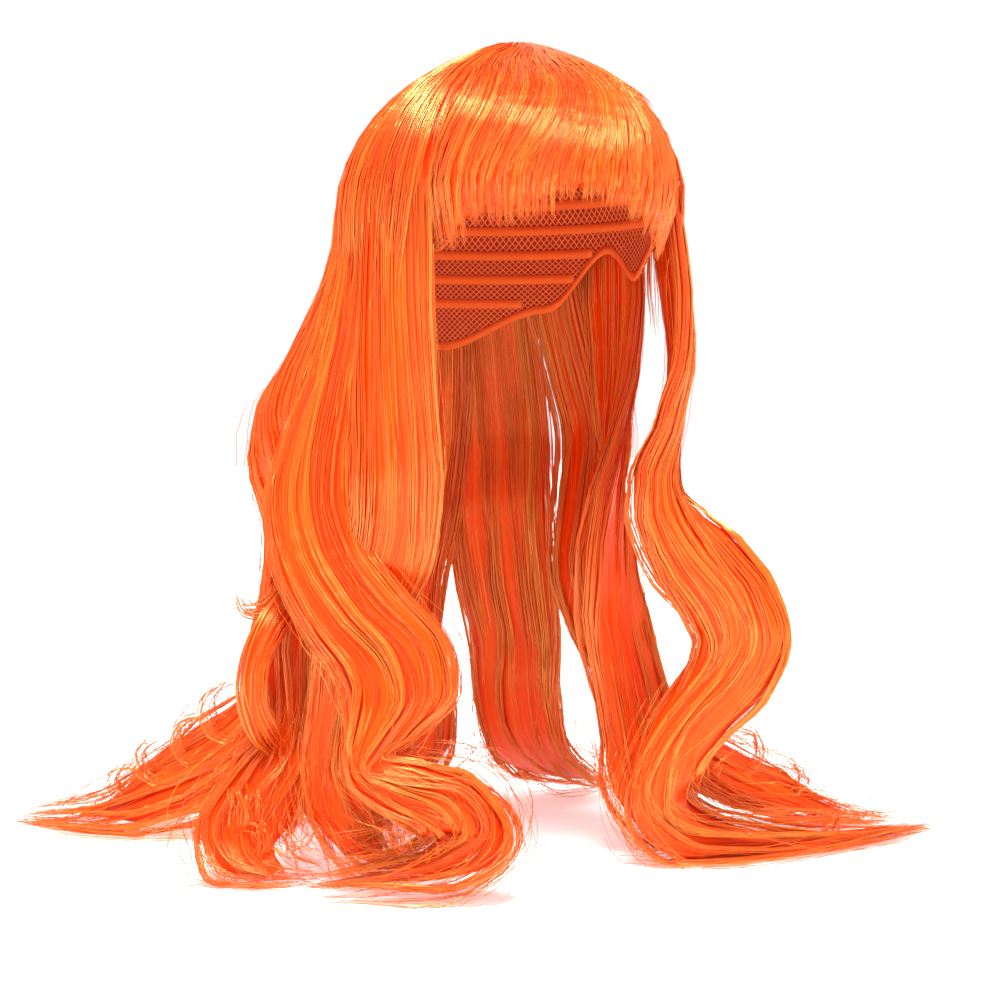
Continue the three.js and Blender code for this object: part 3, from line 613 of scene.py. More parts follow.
    whole = copied.outputs["Geometry"]
    moved = add(tree, "GeometryNodeSetPosition", {"Geometry": whole, "Offset": offset}).outputs[0]
    here = add(tree, "ShaderNodeSeparateXYZ", {0: add(tree, "GeometryNodeInputPosition").outputs[0]}).outputs
    layer = chance(LOWEST_LAYER, HIGHEST_LAYER, 5)
    above = number("MAXIMUM", here[2], plus(given["Floor"], layer))
    lifted = add(tree, "ShaderNodeCombineXYZ", {0: here[0], 1: here[1], 2: above}).outputs[0]
    moved = add(tree, "GeometryNodeSetPosition", {"Geometry": moved, "Position": lifted}).outputs[0]

    # Numbers kept on the mesh: the tone of a strand and its place on its map
    tone = plus(times(chance(0, 1, 6), 0.55), times(chance(0, 1, 7, lock), 0.45))
    kept = store(store(moved, "tone", tone), "strand", index)

    # Uneven ends, and a tube round each line
    start = times(chance(0, 1, 8), given["Late start"])
    trim = times(number("POWER", chance(0, 1, 9), 1.5), given["Cut"])
    trimmed = add(tree, "GeometryNodeTrimCurve", {"Curve": kept}, mode="FACTOR")
    tree.links.new(start, trimmed.inputs[2])
    tree.links.new(number("SUBTRACT", 1.0, trim), trimmed.inputs[3])
    factor = add(tree, "GeometryNodeSplineParameter").outputs["Factor"]
    taper = {"Value": factor, "From Min": TIP_FROM, "From Max": 1.0, "To Min": 1.0, "To Max": TIP_WIDTH}
    tip = add(tree, "ShaderNodeMapRange", taper).outputs["Result"]
    radius = times(times(times(given["Strand width"], 0.5), chance(0.7, 1.3, 10)), tip)
    circle = {"Resolution": 3, "Radius": 1.0}
    ring = add(tree, "GeometryNodeCurvePrimitiveCircle", circle, mode="RADIUS").outputs[0]
    ring = store(ring, "around", add(tree, "GeometryNodeSplineParameter").outputs["Factor"])
    sweep = {"Curve": trimmed.outputs[0], "Profile Curve": ring, "Scale": radius, "Fill Caps": True}
    tube = add(tree, "GeometryNodeCurveToMesh", sweep).outputs[0]
    column_of = plus(stored("strand"), number("MULTIPLY_ADD", stored("around"), 1.2, 0.05))
    share = number("DIVIDE", column_of, given["All strands"])
    spot = add(tree, "ShaderNodeCombineXYZ", {0: share, 1: place}).outputs[0]
    mapped = store(tube, "OFBake", spot, "FLOAT2", "CORNER")
    soft = add(tree, "GeometryNodeSetShadeSmooth", {"Geometry": mapped}).outputs[0]
    real = add(tree, "GeometryNodeRealizeInstances", {"Geometry": soft}).outputs[0]
    done = add(tree, "GeometryNodeSetMaterial", {"Geometry": real, "Material": given["Material"]}).outputs[0]
    tree.links.new(done, add(tree, "NodeGroupOutput").inputs[0])
    return tree


grower = strand_tree()
print("strand tree has", len(grower.nodes), "nodes")

# %% [markdown]
# ## Guides and pieces
# A guide mesh is bare lines with numbers on their points. The helper below makes it, lets the tree
# grow the strands, keeps the result as a plain mesh and deletes the guide.

# %% Helpers that make pieces
KEPT = ("tone", "OFBake", "sharp_face", "material_index")


def guide(points, across, outward, bend, wave, share=1.0, places=None):
    places = np.linspace(0, 1, len(points)) if places is None else places
    arrows = {"across": across, "outward": outward, "bend": bend, "wave": wave}
    return {"points": points, "share": share, "places": places, **arrows}


def grow_strands(name, guides, material, **sizes):
    mesh = bpy.data.meshes.new(name)
    counts = [len(g["points"]) for g in guides]
    starts = np.cumsum([0] + counts)
    edges = [(s + k, s + k + 1) for s, count in zip(starts, counts) for k in range(count - 1)]
    mesh.from_pydata(np.vstack([g["points"] for g in guides]).tolist(), edges, [])
    strands = [round(sizes["Strands"] * g["share"]) for g in guides]
    firsts = np.cumsum([0] + strands)[:-1]
    for key in ("across", "outward", "bend", "wave"):
        layer = mesh.attributes.new(key, "FLOAT_VECTOR", "POINT")
        layer.data.foreach_set("vector", np.vstack([g[key] for g in guides]).astype(np.float32).ravel())
    singles = {"share": [g["share"] for g in guides], "first": firsts, "guide": range(len(guides))}
    for key, values in singles.items():
        layer = mesh.attributes.new(key, "FLOAT", "POINT")
        layer.data.foreach_set("value", np.repeat(np.array(list(values), np.float32), counts))
    layer = mesh.attributes.new("place", "FLOAT", "POINT")
    layer.data.foreach_set("value", np.concatenate([g["places"] for g in guides]).astype(np.float32))
    carrier = bpy.data.objects.new(name + "_guides", mesh)
    bpy.context.scene.collection.objects.link(carrier)
    modifier = carrier.modifiers.new("strands", "NODES")
    modifier.node_group = grower
    sizes = {"All strands": int(sum(strands)), **sizes, "Material": material}
    for item in grower.interface.items_tree:
        if item.in_out == "INPUT" and item.name in sizes:
            modifier[item.identifier] = sizes[item.name]
    graph = bpy.context.evaluated_depsgraph_get()
    finished = carrier.evaluated_get(graph)
    result = bpy.data.meshes.new_from_object(finished, preserve_all_data_layers=True, depsgraph=graph)
    bpy.data.objects.remove(carrier)
    for layer in list(result.attributes):
        if layer.name not in KEPT and not layer.is_required and not layer.is_internal:
            result.attributes.remove(layer)
    piece = bpy.data.objects.new(name, result)
    bpy.context.scene.collection.objects.link(piece)
    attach(piece, "root")
    triangles = sum(len(p.vertices) - 2 for p in result.polygons)
    print(f"{name}: {sum(strands)} strands, {triangles} triangles")
    return piece


def mesh_piece(name, points, faces, material, spots=()):
    mesh = bpy.data.meshes.new(name)
    mesh.from_pydata([tuple(p) for p in points], [], faces)
    mesh.materials.append(material)
    mesh.polygons.foreach_set("use_smooth", [True] * len(mesh.polygons))
    if len(spots):
        layer = mesh.uv_layers.new(name="OFBake")
        layer.uv.foreach_set("vector", np.asarray(spots, np.float32).ravel())
    mesh.validate()
    mesh.update()
    piece = bpy.data.objects.new(name, mesh)
    bpy.context.scene.collection.objects.link(piece)
    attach(piece, "root")
    return piece


print("kept on a strand:", KEPT[:2])

# %% [markdown]
# ## Packed hair under the strands
# Deep in a tress the fibres lie packed, and what shows between the strands is painted a darker, redder
# orange than the strands, as painted shade for the shadow between them, with fine lines along it. Each
# body is a loft of a lens section that is a little smaller than the tress.
# Its lines come from a noise that is stretched along the body's own map, a fine one for the fibres and
# a coarse one for the locks. The fine one is also its bump. Packed fibres lie side by side like the
# grooves of a record, so their gloss is drawn out across them, which is what the anisotropy does.

# %% Packed fibre
PACKED_REFRACTION = 1.45
GLOSS_DRAWN_OUT = 0.8
LINES_ACROSS = 240.0
LOCKS_ACROSS = LINES_ACROSS / 9
LINE_DEPTH = 0.0006


def packed_material(name, shades):
    made, tree, shader = new_material(name)
    satin(shader, FIBRE_ROUGHNESS, PACKED_REFRACTION)
    shader.inputs["Anisotropic"].default_value = GLOSS_DRAWN_OUT
    across = add(tree, "ShaderNodeTangent", direction_type="UV_MAP", uv_map="OFBake")
    tree.links.new(across.outputs[0], shader.inputs["Tangent"])
    spot = add(tree, "ShaderNodeUVMap", uv_map="OFBake")
    fine = add(tree, "ShaderNodeMapping", {"Vector": spot.outputs[0], "Scale": (LINES_ACROSS, 5.0, 1.0)})
    coarse = add(tree, "ShaderNodeMapping", {"Vector": spot.outputs[0], "Scale": (LOCKS_ACROSS, 3.0, 1.0)})
    lines = add(tree, "ShaderNodeTexNoise", {"Vector": fine.outputs[0], "Scale": 1.0, "Detail": 2.0})
    locks = add(tree, "ShaderNodeTexNoise", {"Vector": coarse.outputs[0], "Scale": 1.0, "Detail": 1.0})
    both = add(tree, "ShaderNodeMath", {0: lines.outputs[0], 1: locks.outputs[0]}, operation="ADD")
    tone = add(tree, "ShaderNodeMapRange", {"Value": both.outputs[0], "From Min": 0.7, "From Max": 1.3})
    tree.links.new(dye_ramp(tree, tone.outputs["Result"], shades), shader.inputs["Base Color"])
    bump = add(tree, "ShaderNodeBump", {"Height": lines.outputs[0], "Strength": 0.5, "Distance": LINE_DEPTH})
    tree.links.new(bump.outputs[0], shader.inputs["Normal"])
    return made


# Darker and redder than the fibre shades: the extra darkness is painted shade for the hollows between
# strands.
PACKED_DYE_WITH_PAINTED_SHADE = ((0.1, "E42400"), (0.5, "F23A00"), (0.9, "F85404"))
packed = packed_material("modacrylic fibre, packed, painted shade", PACKED_DYE_WITH_PAINTED_SHADE)
print("material:", packed.name)

# %% Body of a tress
BODY_WIDTH = 0.87
BODY_THICKNESS = 0.84
BODY_CORNERS = 20
BODY_END = 0.93
CLOSE_FROM = 0.72
FLATTEST = 0.3
ROOT_DROP = 0.034
ROOT_STATIONS = 5
ROOT_SHARE = 0.1
ROOT_GAP = 0.006


def body_of_tress(rows, stations, width=1.0):
    places = places_along(rows, stations) * BODY_END
    points, across, out = tress_line(rows, places)
    taper = np.maximum(np.sqrt(1 - smooth(CLOSE_FROM, BODY_END, places) ** 2), 0.05)
    half = column(rows, WIDTH, places) * TRESS_WIDTH / 2 * taper * BODY_WIDTH * width
    bulk = column(rows, THICK, places) * TRESS_THICKNESS / 2 * np.maximum(taper, FLATTEST) * BODY_THICKNESS
    turn = np.linspace(0, 2 * math.pi, BODY_CORNERS, endpoint=False)
    side = np.cos(turn)
    rise = np.sin(turn) * (RIDGE_BASE + RIDGE_RISE * np.cos(RIDGE_PACE * side))
    shift = half[:, None] * side[None]
    lift = bulk[:, None] * rise[None] - shift ** 2 / (2 * WRAP_RADIUS)
    rings = points[:, None] + across[:, None] * shift[..., None] + out[:, None] * lift[..., None]
    rings[..., 2] = np.maximum(rings[..., 2], FLOOR + 0.001)
    verts = list(rings.reshape(-1, 3)) + [rings[0].mean(0), rings[-1].mean(0)]
    faces, spots = [], []
    n = BODY_CORNERS
    for s in range(stations - 1):
        for k in range(n):
            j = (k + 1) % n
            faces.append((s * n + k, s * n + j, (s + 1) * n + j, (s + 1) * n + k))
            u, v, low, high = k / n, (k + 1) / n, places[s], places[s + 1]
            spots += [(u, low), (v, low), (v, high), (u, high)]
    for k in range(n):
        j = (k + 1) % n
        faces.append((len(verts) - 2, j, k))
        faces.append((len(verts) - 1, (stations - 1) * n + k, (stations - 1) * n + j))
        spots += [((k + 0.5) / n, 0.0), ((k + 1) / n, 0.004), (k / n, 0.004)]
        spots += [((k + 0.5) / n, 1.0), (k / n, 0.996), ((k + 1) / n, 0.996)]
    return verts, faces, spots


def join_bodies(parts):
    verts, faces, spots = [], [], []
    for part in parts:
        faces += [tuple(i + len(verts) for i in face) for face in part[1]]
        verts += list(part[0])
        spots += part[2]
    return verts, faces, spots


def tress_guide(rows, stations, share=1.0, width=1.0):
    places = places_along(rows, stations)
    points, across, out = tress_line(rows, places)
    straight = sum(line_through(knots_of(rows), places + ahead) for ahead in (-0.1, 0, 0.1)) / 3
    half = column(rows, WIDTH, places) * TRESS_WIDTH / 2 * width * (1 - 0.3 * smooth(0.85, 1, places))
    bulk = column(rows, THICK, places) * TRESS_THICKNESS / 2
    wave = points - straight
    if rows[0][DROP] * FALL < CROWN_DEPTH:
        drops = np.linspace(ROOT_DROP, rows[0][DROP] * FALL - ROOT_GAP, ROOT_STATIONS)
        sweeps = sweep_at(drops)
        top = points[0]
        reach_side, reach_end = HALF_BREADTH + HAIR_SIDE, HALF_LENGTH + HAIR_END
        facing = math.degrees(math.atan2(top[0] / reach_side, -top[1] / reach_end))
        under = bulk[0] + CROWN_LAYER
        roots = over_head(facing, sweeps, CAP_WALL + crown_thickness(facing, sweeps) - under)
        run = unit(np.gradient(np.vstack([roots, top]), axis=0))[:-1]
        away = square_to(unit(roots - HEAD_MIDDLE), run)
        reach = np.hypot(roots[:, 0], roots[:, 1]) / np.hypot(top[0], top[1])
        points = np.vstack([roots, points])
        across = np.vstack([np.cross(run, away), across])
        out = np.vstack([away, out])
        half = np.concatenate([half[0] * reach, half])
        bulk = np.concatenate([bulk[0] * np.linspace(0.4, 1.0, ROOT_STATIONS), bulk])
        wave = np.vstack([np.zeros_like(roots), wave])
        root_places = np.linspace(0, ROOT_SHARE, ROOT_STATIONS, endpoint=False)
        places = np.concatenate([root_places, mix(ROOT_SHARE, 1.0, places)])
    bend = -out * (half ** 2 / (2 * WRAP_RADIUS))[:, None]
    return guide(points, across * half[:, None], out * bulk[:, None], bend, wave, share, places)


# %% [markdown]
# ## The nine tresses
# Each tress gets its body and its strands. The ring and the flick beside the right shoulder leave the
# right back tress part way down, so they are guides of their own in the same piece. A row of the table
# holds the tress, its guides with the share of strands that each gets, the number of strands and of
# stations, and the share of the inner side.

# %% Grow the tresses
TRESSES = (
    ("right_side_tress", (RIGHT_SIDE,), (1.0,), 340, 56, 0.4),
    ("right_front_tress", (RIGHT_FRONT,), (1.0,), 340, 38, 0.5),
    ("right_back_tress", (RIGHT_BACK, RIGHT_LOOP, RIGHT_FLICK), (1.0, 0.3, 0.08), 290, 42, 0.4),
    ("left_front_tress", (LEFT_FRONT,), (1.0,), 330, 54, 0.5),
    ("left_side_tress", (LEFT_SIDE,), (1.0,), 290, 30, 0.8),
    ("left_back_tress", (LEFT_BACK,), (1.0,), 290, 28, 1.4),
    ("back_right_tress", (BACK_RIGHT,), (1.0,), 290, 25, 1.4),
    ("back_left_tress", (BACK_LEFT,), (1.0,), 290, 22, 1.4),
    ("back_tress", (BACK,), (1.0,), 290, 22, 1.6),
)
LOOP_WIDTH = 0.6
LOOP_CALM = 0.45

for order, (name, routes, shares, strands, stations, inner_side) in enumerate(TRESSES):
    bodies = [body_of_tress(rows, 4 * len(rows), width) for rows, width in zip(routes[:2], (1.0, LOOP_WIDTH))]
    verts, faces, spots = join_bodies(bodies)
    body = mesh_piece(name + "_body", verts, faces, packed, spots)
    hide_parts(name)
    guides = [tress_guide(routes[0], stations)]
    for rows, share in zip(routes[1:], shares[1:]):
        side_lock = tress_guide(rows, 4 * len(rows), share, LOOP_WIDTH)
        side_lock["places"] = side_lock["places"] * LOOP_CALM
        guides.append(side_lock)
    grow_strands(name + "_strands", guides, fibre, Strands=strands, Locks=9, Gather=0.5, Drift=0.0068,
                 Frizz=0.0012, Seed=10 + order,
                 **{"Strand width": 0.0007, "Late start": 0.05, "Inner side": inner_side})

# %% [markdown]
# ## Loose strands
# A worn wig is never quite combed: thin single strands stray off every tress. The same tree grows them
# along the same guides, thinner, with more swing, drift and frizz.

# %% Grow the loose strands
stray_guides = [tress_guide(routes[0], 34) for name, routes, *rest in TRESSES]
grow_strands("loose_strands", stray_guides, fibre, Strands=42, Locks=40, Gather=0.0, Spread=1.12, Drift=0.012,
             Frizz=0.003, Swing=0.45, Cut=0.5, Seed=90, **{"Strand width": 0.00035, "Late start": 0.6})

# %% [markdown]
# ## Frayed ends
# Where a tress lies on the floor its last hand's breadth opens into a light fluff, because the ends
# were cut at many lengths and the set curl is strongest there.

# %% Grow the frayed ends
FRAYED_FROM = 0.62


def end_of(whole):
    kept = whole["places"] > FRAYED_FROM
    return {key: value if key == "share" else value[kept] for key, value in whole.items()}


frayed_guides = [end_of(tress_guide(routes[0], 46)) for name, routes, *rest in TRESSES]
grow_strands("frayed_ends", frayed_guides, fibre, Strands=84, Locks=26, Gather=0.2, Spread=1.5, Drift=0.018,
             Frizz=0.003, Swing=0.3, Cut=0.4, Seed=120, **{"Strand width": 0.0004, "Late start": 0.5})

# %% [markdown]
# ## Curled ends
# The steam set is strongest at the ends, so behind each shoulder a few thin locks spring up off the
# pile and curl back over it. Each is part of a circle that stands on its tress: the table gives the
# tress, the place along it, the circle's radius and the lock's width as shares of the tress's width,
# and how far round it goes.

# %% Grow the curled ends
CURLS = (
    (BACK_RIGHT, 0.70, 0.34, 0.50, 200), (BACK_RIGHT, 0.76, 0.26, 0.45, 250),
    (BACK_RIGHT, 0.81, 0.30, 0.40, 160), (BACK_RIGHT, 0.86, 0.20, 0.30, 230),
    (RIGHT_BACK, 0.80, 0.22, 0.30, 240), (RIGHT_BACK, 0.86, 0.16, 0.25, 260),
    (LEFT_SIDE, 0.76, 0.34, 0.40, 210), (LEFT_SIDE, 0.84, 0.26, 0.35, 170),
    (LEFT_BACK, 0.70, 0.36, 0.45, 190), (LEFT_BACK, 0.78, 0.26, 0.40, 240),
    (LEFT_BACK, 0.85, 0.18, 0.30, 200), (LEFT_FRONT, 0.93, 0.16, 0.25, 170),
)
CURL_STATIONS = 16
CURL_BULK = 0.002
UP = np.array([0, 0, 1])


def curl_guide(rows, place, radius, width, turn):
    (start, ahead), across, out = tress_line(rows, np.array([place, place + 0.01]))
    run = unit((ahead - start)[None] * [1, 1, 0])[0]
    angles = np.radians(np.linspace(0, turn, CURL_STATIONS))[:, None]
    far = radius * TRESS_WIDTH * (1 - 0.25 * angles / angles[-1])
    points = start + run * far * np.sin(angles) + UP * far * (1 - np.cos(angles))
    aside = np.cross(run, UP)[None] * np.full((CURL_STATIONS, 1), width * TRESS_WIDTH / 2)
    outward = (UP * np.cos(angles) - run * np.sin(angles)) * CURL_BULK
    zero = np.zeros_like(points)
    return guide(points, aside, outward, zero, zero, 1.0, np.linspace(0.2, 1, CURL_STATIONS))


curl_guides = [curl_guide(*row) for row in CURLS]
grow_strands("curled_ends", curl_guides, fibre, Strands=22, Locks=4, Gather=0.7, Drift=0.005, Frizz=0.0012,
             Swing=0.0, Cut=0.4, Seed=150, **{"Strand width": 0.00045, "Late start": 0.2})

# %% [markdown]
# ## Crown hair
# Crown hair starts at the whorl on top of the head, spreads over the cap, and goes on down over the
# tops of the tresses, where its uneven ends are lost among their strands. In front it ends at the
# parting, where the fringe is sewn. A round of guides runs down from the whorl, each with a slice of
# the head's width to fill.

# %% Skin that the crown strands follow
TRESS_ORDER = (BACK, BACK_RIGHT, RIGHT_BACK, RIGHT_SIDE, RIGHT_FRONT,
               LEFT_FRONT, LEFT_SIDE, LEFT_BACK, BACK_LEFT, BACK)
TRESS_FACINGS = (-180, -155, -128, -100, -72, 74, 100, 128, 155, 180)
HANGS_FROM = 0.060
HANGS_BY = 0.135


def tress_skin(rows, drops):
    """Points of a tress's outer side at given drops below the top of the head."""
    places = np.linspace(0, 0.5, 200)
    points, across, out = tress_line(rows, places)
    skin = points + out * (column(rows, THICK, places) * TRESS_THICKNESS / 2)[:, None]
    return np.stack([np.interp(drops, -points[:, 2], skin[:, k]) for k in range(3)], 1)


def hair_skin(facing, drops):
    """Outer skin of the hair from the whorl down over the tops of the tresses."""
    sweep = sweep_at(drops)
    dome = over_head(facing, sweep, CAP_WALL + crown_thickness(facing, sweep))
    after = int(np.searchsorted(TRESS_FACINGS, facing))
    after = min(max(after, 1), len(TRESS_FACINGS) - 1)
    low, high = TRESS_FACINGS[after - 1], TRESS_FACINGS[after]
    sides = [tress_skin(TRESS_ORDER[which], drops) for which in (after - 1, after)]
    hanging = mix(*sides, (facing - low) / (high - low))
    hanging[:, 2] = -drops
    return mix(dome, hanging, smooth(HANGS_FROM, HANGS_BY, drops)[:, None])


print("skin at the right ear:", hair_skin(-100.0, np.array([0.09]))[0].round(3))

# %% Grow the crown hair
SLICES = 60
CROWN_STATIONS = 20
CROWN_END = 0.150
WHIRL = 24
OVERLAP = 1.6


def crown_guide(facing):
    ends_at_parting = abs(facing + 1) < 64
    end = parting_drop(np.array(facing)) + 0.012 if ends_at_parting else CROWN_END
    sweeps = np.linspace(0.004, float(sweep_at(end)), CROWN_STATIONS)
    on_dome = HEAD_RISE * (1 - np.cos(np.minimum(sweeps, 1) * math.pi / 2))
    drops = np.where(sweeps > 1, sweeps * HEAD_RISE, on_dome)
    turned = (facing + WHIRL * (1 - smooth(0, 0.35, sweeps)) + 180) % 360 - 180
    points = np.array([hair_skin(f, np.array([d]))[0] for f, d in zip(turned, drops)])
    along = unit(np.gradient(points, axis=0))
    zero = np.zeros_like(points)
    centre = np.stack([zero[:, 0], zero[:, 1], np.minimum(points[:, 2], -HEAD_RISE)], 1)
    away = square_to(unit(points - centre), along)
    across = np.cross(along, away)
    half = np.hypot(points[:, 0], points[:, 1]) * math.pi / SLICES * OVERLAP
    return guide(points - away * CROWN_LAYER, across * half[:, None], away * CROWN_LAYER, zero, zero, 1.0)


crown_guides = [crown_guide(-180 + 360 * (k + 0.5) / SLICES) for k in range(SLICES)]
grow_strands("crown_hair_strands", crown_guides, fibre, Strands=18, Locks=3, Gather=0.25, Drift=0.0012,
             Frizz=0.0006, Swing=0.0, Cut=0.35, Seed=40, **{"Late start": 0.45, "Strand width": 0.0007})

# %% Packed hair over the cap
BODY_FACETS = 96
BODY_RINGS = 26
SHELL_MAP = 0.28
BODY_UNDER = 0.0018
OFF_CAP = 0.0006
SET_BACK = 0.012


def even(distance):
    """A skin that lies at one distance from the head."""
    return lambda facing, sweep: np.full(np.shape(sweep), distance)


def crown_skin(facing, sweep):
    """A skin that lies just under the crown strands, and drops back where the tresses begin."""
    back = SET_BACK * smooth(float(sweep_at(0.06)), float(sweep_at(CROWN_DEPTH)), sweep)
    return CAP_WALL + crown_thickness(facing, sweep) - BODY_UNDER - back


def shell(rim, outer, inner, facets, rings):
    """Closed dome over the head from its top to a rim, with an outer and an inner skin."""
    facings = np.linspace(-180, 180, facets, endpoint=False)
    ends = sweep_at(np.array([rim(f) for f in facings]))
    verts, faces, spots = [], [], []
    for skin in (outer, inner):
        for ring in range(1, rings + 1):
            sweep = ends * ring / rings
            verts += list(over_head(facings, sweep, skin(facings, sweep)))
    verts.append(over_head(np.array(0.0), np.array(0.0), outer(0.0, 0.0)))
    verts.append(over_head(np.array(0.0), np.array(0.0), inner(0.0, 0.0)))
    n, half = facets, rings * facets
    steps = SHELL_MAP * ends / rings
    for k in range(n):
        j = (k + 1) % n
        u, v = k / n, (k + 1) / n
        here, next_one = steps[k], steps[j]
        faces += [(2 * half, k, j), (2 * half + 1, half + j, half + k)]
        spots += [(u, 0), (u, here), (v, next_one), (u, 1), (v, 1 - next_one), (u, 1 - here)]
        for ring in range(1, rings):
            a, b = (ring - 1) * n, ring * n
            left, right = (here * ring, here * (ring + 1)), (next_one * ring, next_one * (ring + 1))
            corners = ((u, left[0]), (u, left[1]), (v, right[1]), (v, right[0]))
            faces.append((a + k, b + k, b + j, a + j))
            spots += corners
            faces.append((half + b + k, half + a + k, half + a + j, half + b + j))
            spots += [(corners[c][0], 1 - corners[c][1]) for c in (1, 0, 3, 2)]
        a, b = half - n, 2 * half - n
        faces.append((a + k, b + k, b + j, a + j))
        spots += [(u, 0.499), (u, 0.501), (v, 0.501), (v, 0.499)]
    return verts, faces, spots


verts, faces, spots = shell(parting_drop, crown_skin, even(CAP_WALL + OFF_CAP), BODY_FACETS, BODY_RINGS)
crown_body = mesh_piece("crown_hair_body", verts, faces, packed, spots)
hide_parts("crown_hair")
print("crown body faces:", len(crown_body.data.polygons))

# %% [markdown]
# ## Fringe
# The fringe is a thick weft that starts at the parting and falls to the brow. It is cut in soft points
# that are longer at the temples, and its roots lean to one side. Two guides run down each point.

# %% Grow the fringe
FRINGE_RIGHT = -64
FRINGE_LEFT = 62
FRINGE_BROW = 0.013
FRINGE_SWEEP = 14
FRINGE_STATIONS = 12
LOCK_ASIDE = 2.5
LOCK_HALF_ANGLE = 3.2
FRINGE_LOCKS = (
    (-58, 1.14), (-47, 0.99), (-36, 1.01), (-26, 0.98), (-15, 0.89), (-4, 0.89), (7, 0.92), (18, 0.98),
    (30, 1.05), (42, 1.10), (55, 1.15),
)


def fringe_distance(facing, depth):
    sweep = sweep_at(depth)
    thickness = mix(crown_thickness(facing, sweep), FRINGE_BROW, smooth(PARTING_DROP, HEAD_RISE, depth))
    share = mix(1.0, 0.25, smooth(0.7 * HEAD_RISE, 1.15 * HEAD_RISE, depth))
    return CAP_WALL / 2 + (CAP_WALL / 2 + thickness) * share


def fringe_guide(facing, tip):
    depths = np.linspace(PARTING_DROP - 0.008, tip * HEAD_RISE, FRINGE_STATIONS)
    sweep_aside = FRINGE_SWEEP * smooth(-66, -30, facing) * smooth(-50, 15, -facing)
    turned = mix(facing * 0.86 + sweep_aside, facing, smooth(PARTING_DROP, 0.8 * HEAD_RISE, depths))
    points = over_head(turned, sweep_at(depths), fringe_distance(turned, depths))
    along = unit(np.gradient(points, axis=0))
    away = square_to(unit(points - HEAD_MIDDLE), along)
    across = np.cross(along, away)
    half = np.hypot(points[:, 0], points[:, 1]) * math.radians(LOCK_HALF_ANGLE) * 1.25
    deep = mix(0.0016, 0.0010, smooth(0.5, 1, np.linspace(0, 1, FRINGE_STATIONS)))
    zero = np.zeros_like(points)
    return guide(points - away * deep[:, None], across * half[:, None], away * deep[:, None], zero, zero, 1.0)


fringe_guides = []
for facing, tip in FRINGE_LOCKS:
    fringe_guides.append(fringe_guide(facing - LOCK_ASIDE, tip - 0.01))
    fringe_guides.append(fringe_guide(facing + LOCK_ASIDE, tip - 0.02))
grow_strands("fringe_strands", fringe_guides, fibre, Strands=54, Locks=3, Gather=0.42, Drift=0.0018,
             Frizz=0.0008, Swing=0.0, Cut=0.12, Seed=60, **{"Late start": 0.15, "Strand width": 0.00065})

# %% Packed hair of the fringe
BARE_TIPS = 0.011
FRINGE_BODY = 0.92


def fringe_body_shape(columns, rings):
    facings = np.linspace(FRINGE_RIGHT, FRINGE_LEFT, columns)
    names, lengths = zip(*FRINGE_LOCKS)
    tips = np.interp(facings, names, lengths) * HEAD_RISE - BARE_TIPS
    right = smooth(FRINGE_RIGHT - 1, FRINGE_RIGHT + 9, facings)
    left = smooth(-FRINGE_LEFT - 1, 9 - FRINGE_LEFT, -facings)
    verts, faces, spots = [], [], []
    for thin in (FRINGE_BODY, 0.0):
        bulk = thin * mix(0.3, 1.0, right * left)
        for ring in range(rings + 1):
            depth = mix(PARTING_DROP, tips, ring / rings)
            distance = fringe_distance(facings, depth) * bulk + (1 - bulk) * (CAP_WALL + OFF_CAP)
            verts += list(over_head(facings, sweep_at(depth), distance))
    half = (rings + 1) * columns
    for k in range(columns - 1):
        u, v = k / columns, (k + 1) / columns
        for ring in range(rings):
            a, b = ring * columns + k, (ring + 1) * columns + k
            low, high = 0.5 * ring / rings, 0.5 * (ring + 1) / rings
            faces.append((a, b, b + 1, a + 1))
            spots += [(u, low), (u, high), (v, high), (v, low)]
            faces.append((half + b, half + a, half + a + 1, half + b + 1))
            spots += [(u, 1 - high), (u, 1 - low), (v, 1 - low), (v, 1 - high)]
        faces.append((k + 1, half + k + 1, half + k, k))
        spots += [(v, 0.0), (v, 0.002), (u, 0.002), (u, 0.0)]
        last = rings * columns + k
        faces.append((last, half + last, half + last + 1, last + 1))
        spots += [(u, 0.499), (u, 0.501), (v, 0.501), (v, 0.499)]
    for ring in range(rings):
        a, b = ring * columns, (ring + 1) * columns
        low, high = 0.5 * ring / rings, 0.5 * (ring + 1) / rings
        faces.append((a, half + a, half + b, b))
        spots += [(0.0, low), (0.004, low), (0.004, high), (0.0, high)]
        a, b = a + columns - 1, b + columns - 1
        faces.append((b, half + b, half + a, a))
        spots += [(1.0, high), (0.996, high), (0.996, low), (1.0, low)]
    return verts, faces, spots


verts, faces, spots = fringe_body_shape(64, 12)
fringe_body = mesh_piece("fringe_body", verts, faces, packed, spots)
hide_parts("fringe")
print("fringe body faces:", len(fringe_body.data.polygons))

# %% [markdown]
# ## Cap
# The cap is an open net of elastic thread. Only its inside shows, from the front and from below. The
# net is drawn on a thin shell: two sets of slanting lines on the shell's map make its diamonds, and
# between the threads a dark red is painted, as painted shade for the hair above the net.

# %% Net cap
CAP_EDGE = (
    (-180, 1.66), (-130, 1.42), (-100, 1.05), (-80, 1.24), (-65, 1.10), (-40, 0.60), (0, 0.50), (40, 0.60),
    (65, 1.10), (80, 1.24), (100, 1.05), (130, 1.42), (180, 1.66),
)
NET_OUTSIDE = 0.0016
NET_INSIDE = 0.0003
CELLS_ROUND = 130.0
CELLS_DOWN = 100.0


def cap_edge(facing):
    names, drops = zip(*CAP_EDGE)
    after = min(max(int(np.searchsorted(names, facing)), 1), len(names) - 1)
    share = (facing - names[after - 1]) / (names[after] - names[after - 1])
    return float(mix(drops[after - 1], drops[after], smooth(0, 1, share))) * HEAD_RISE


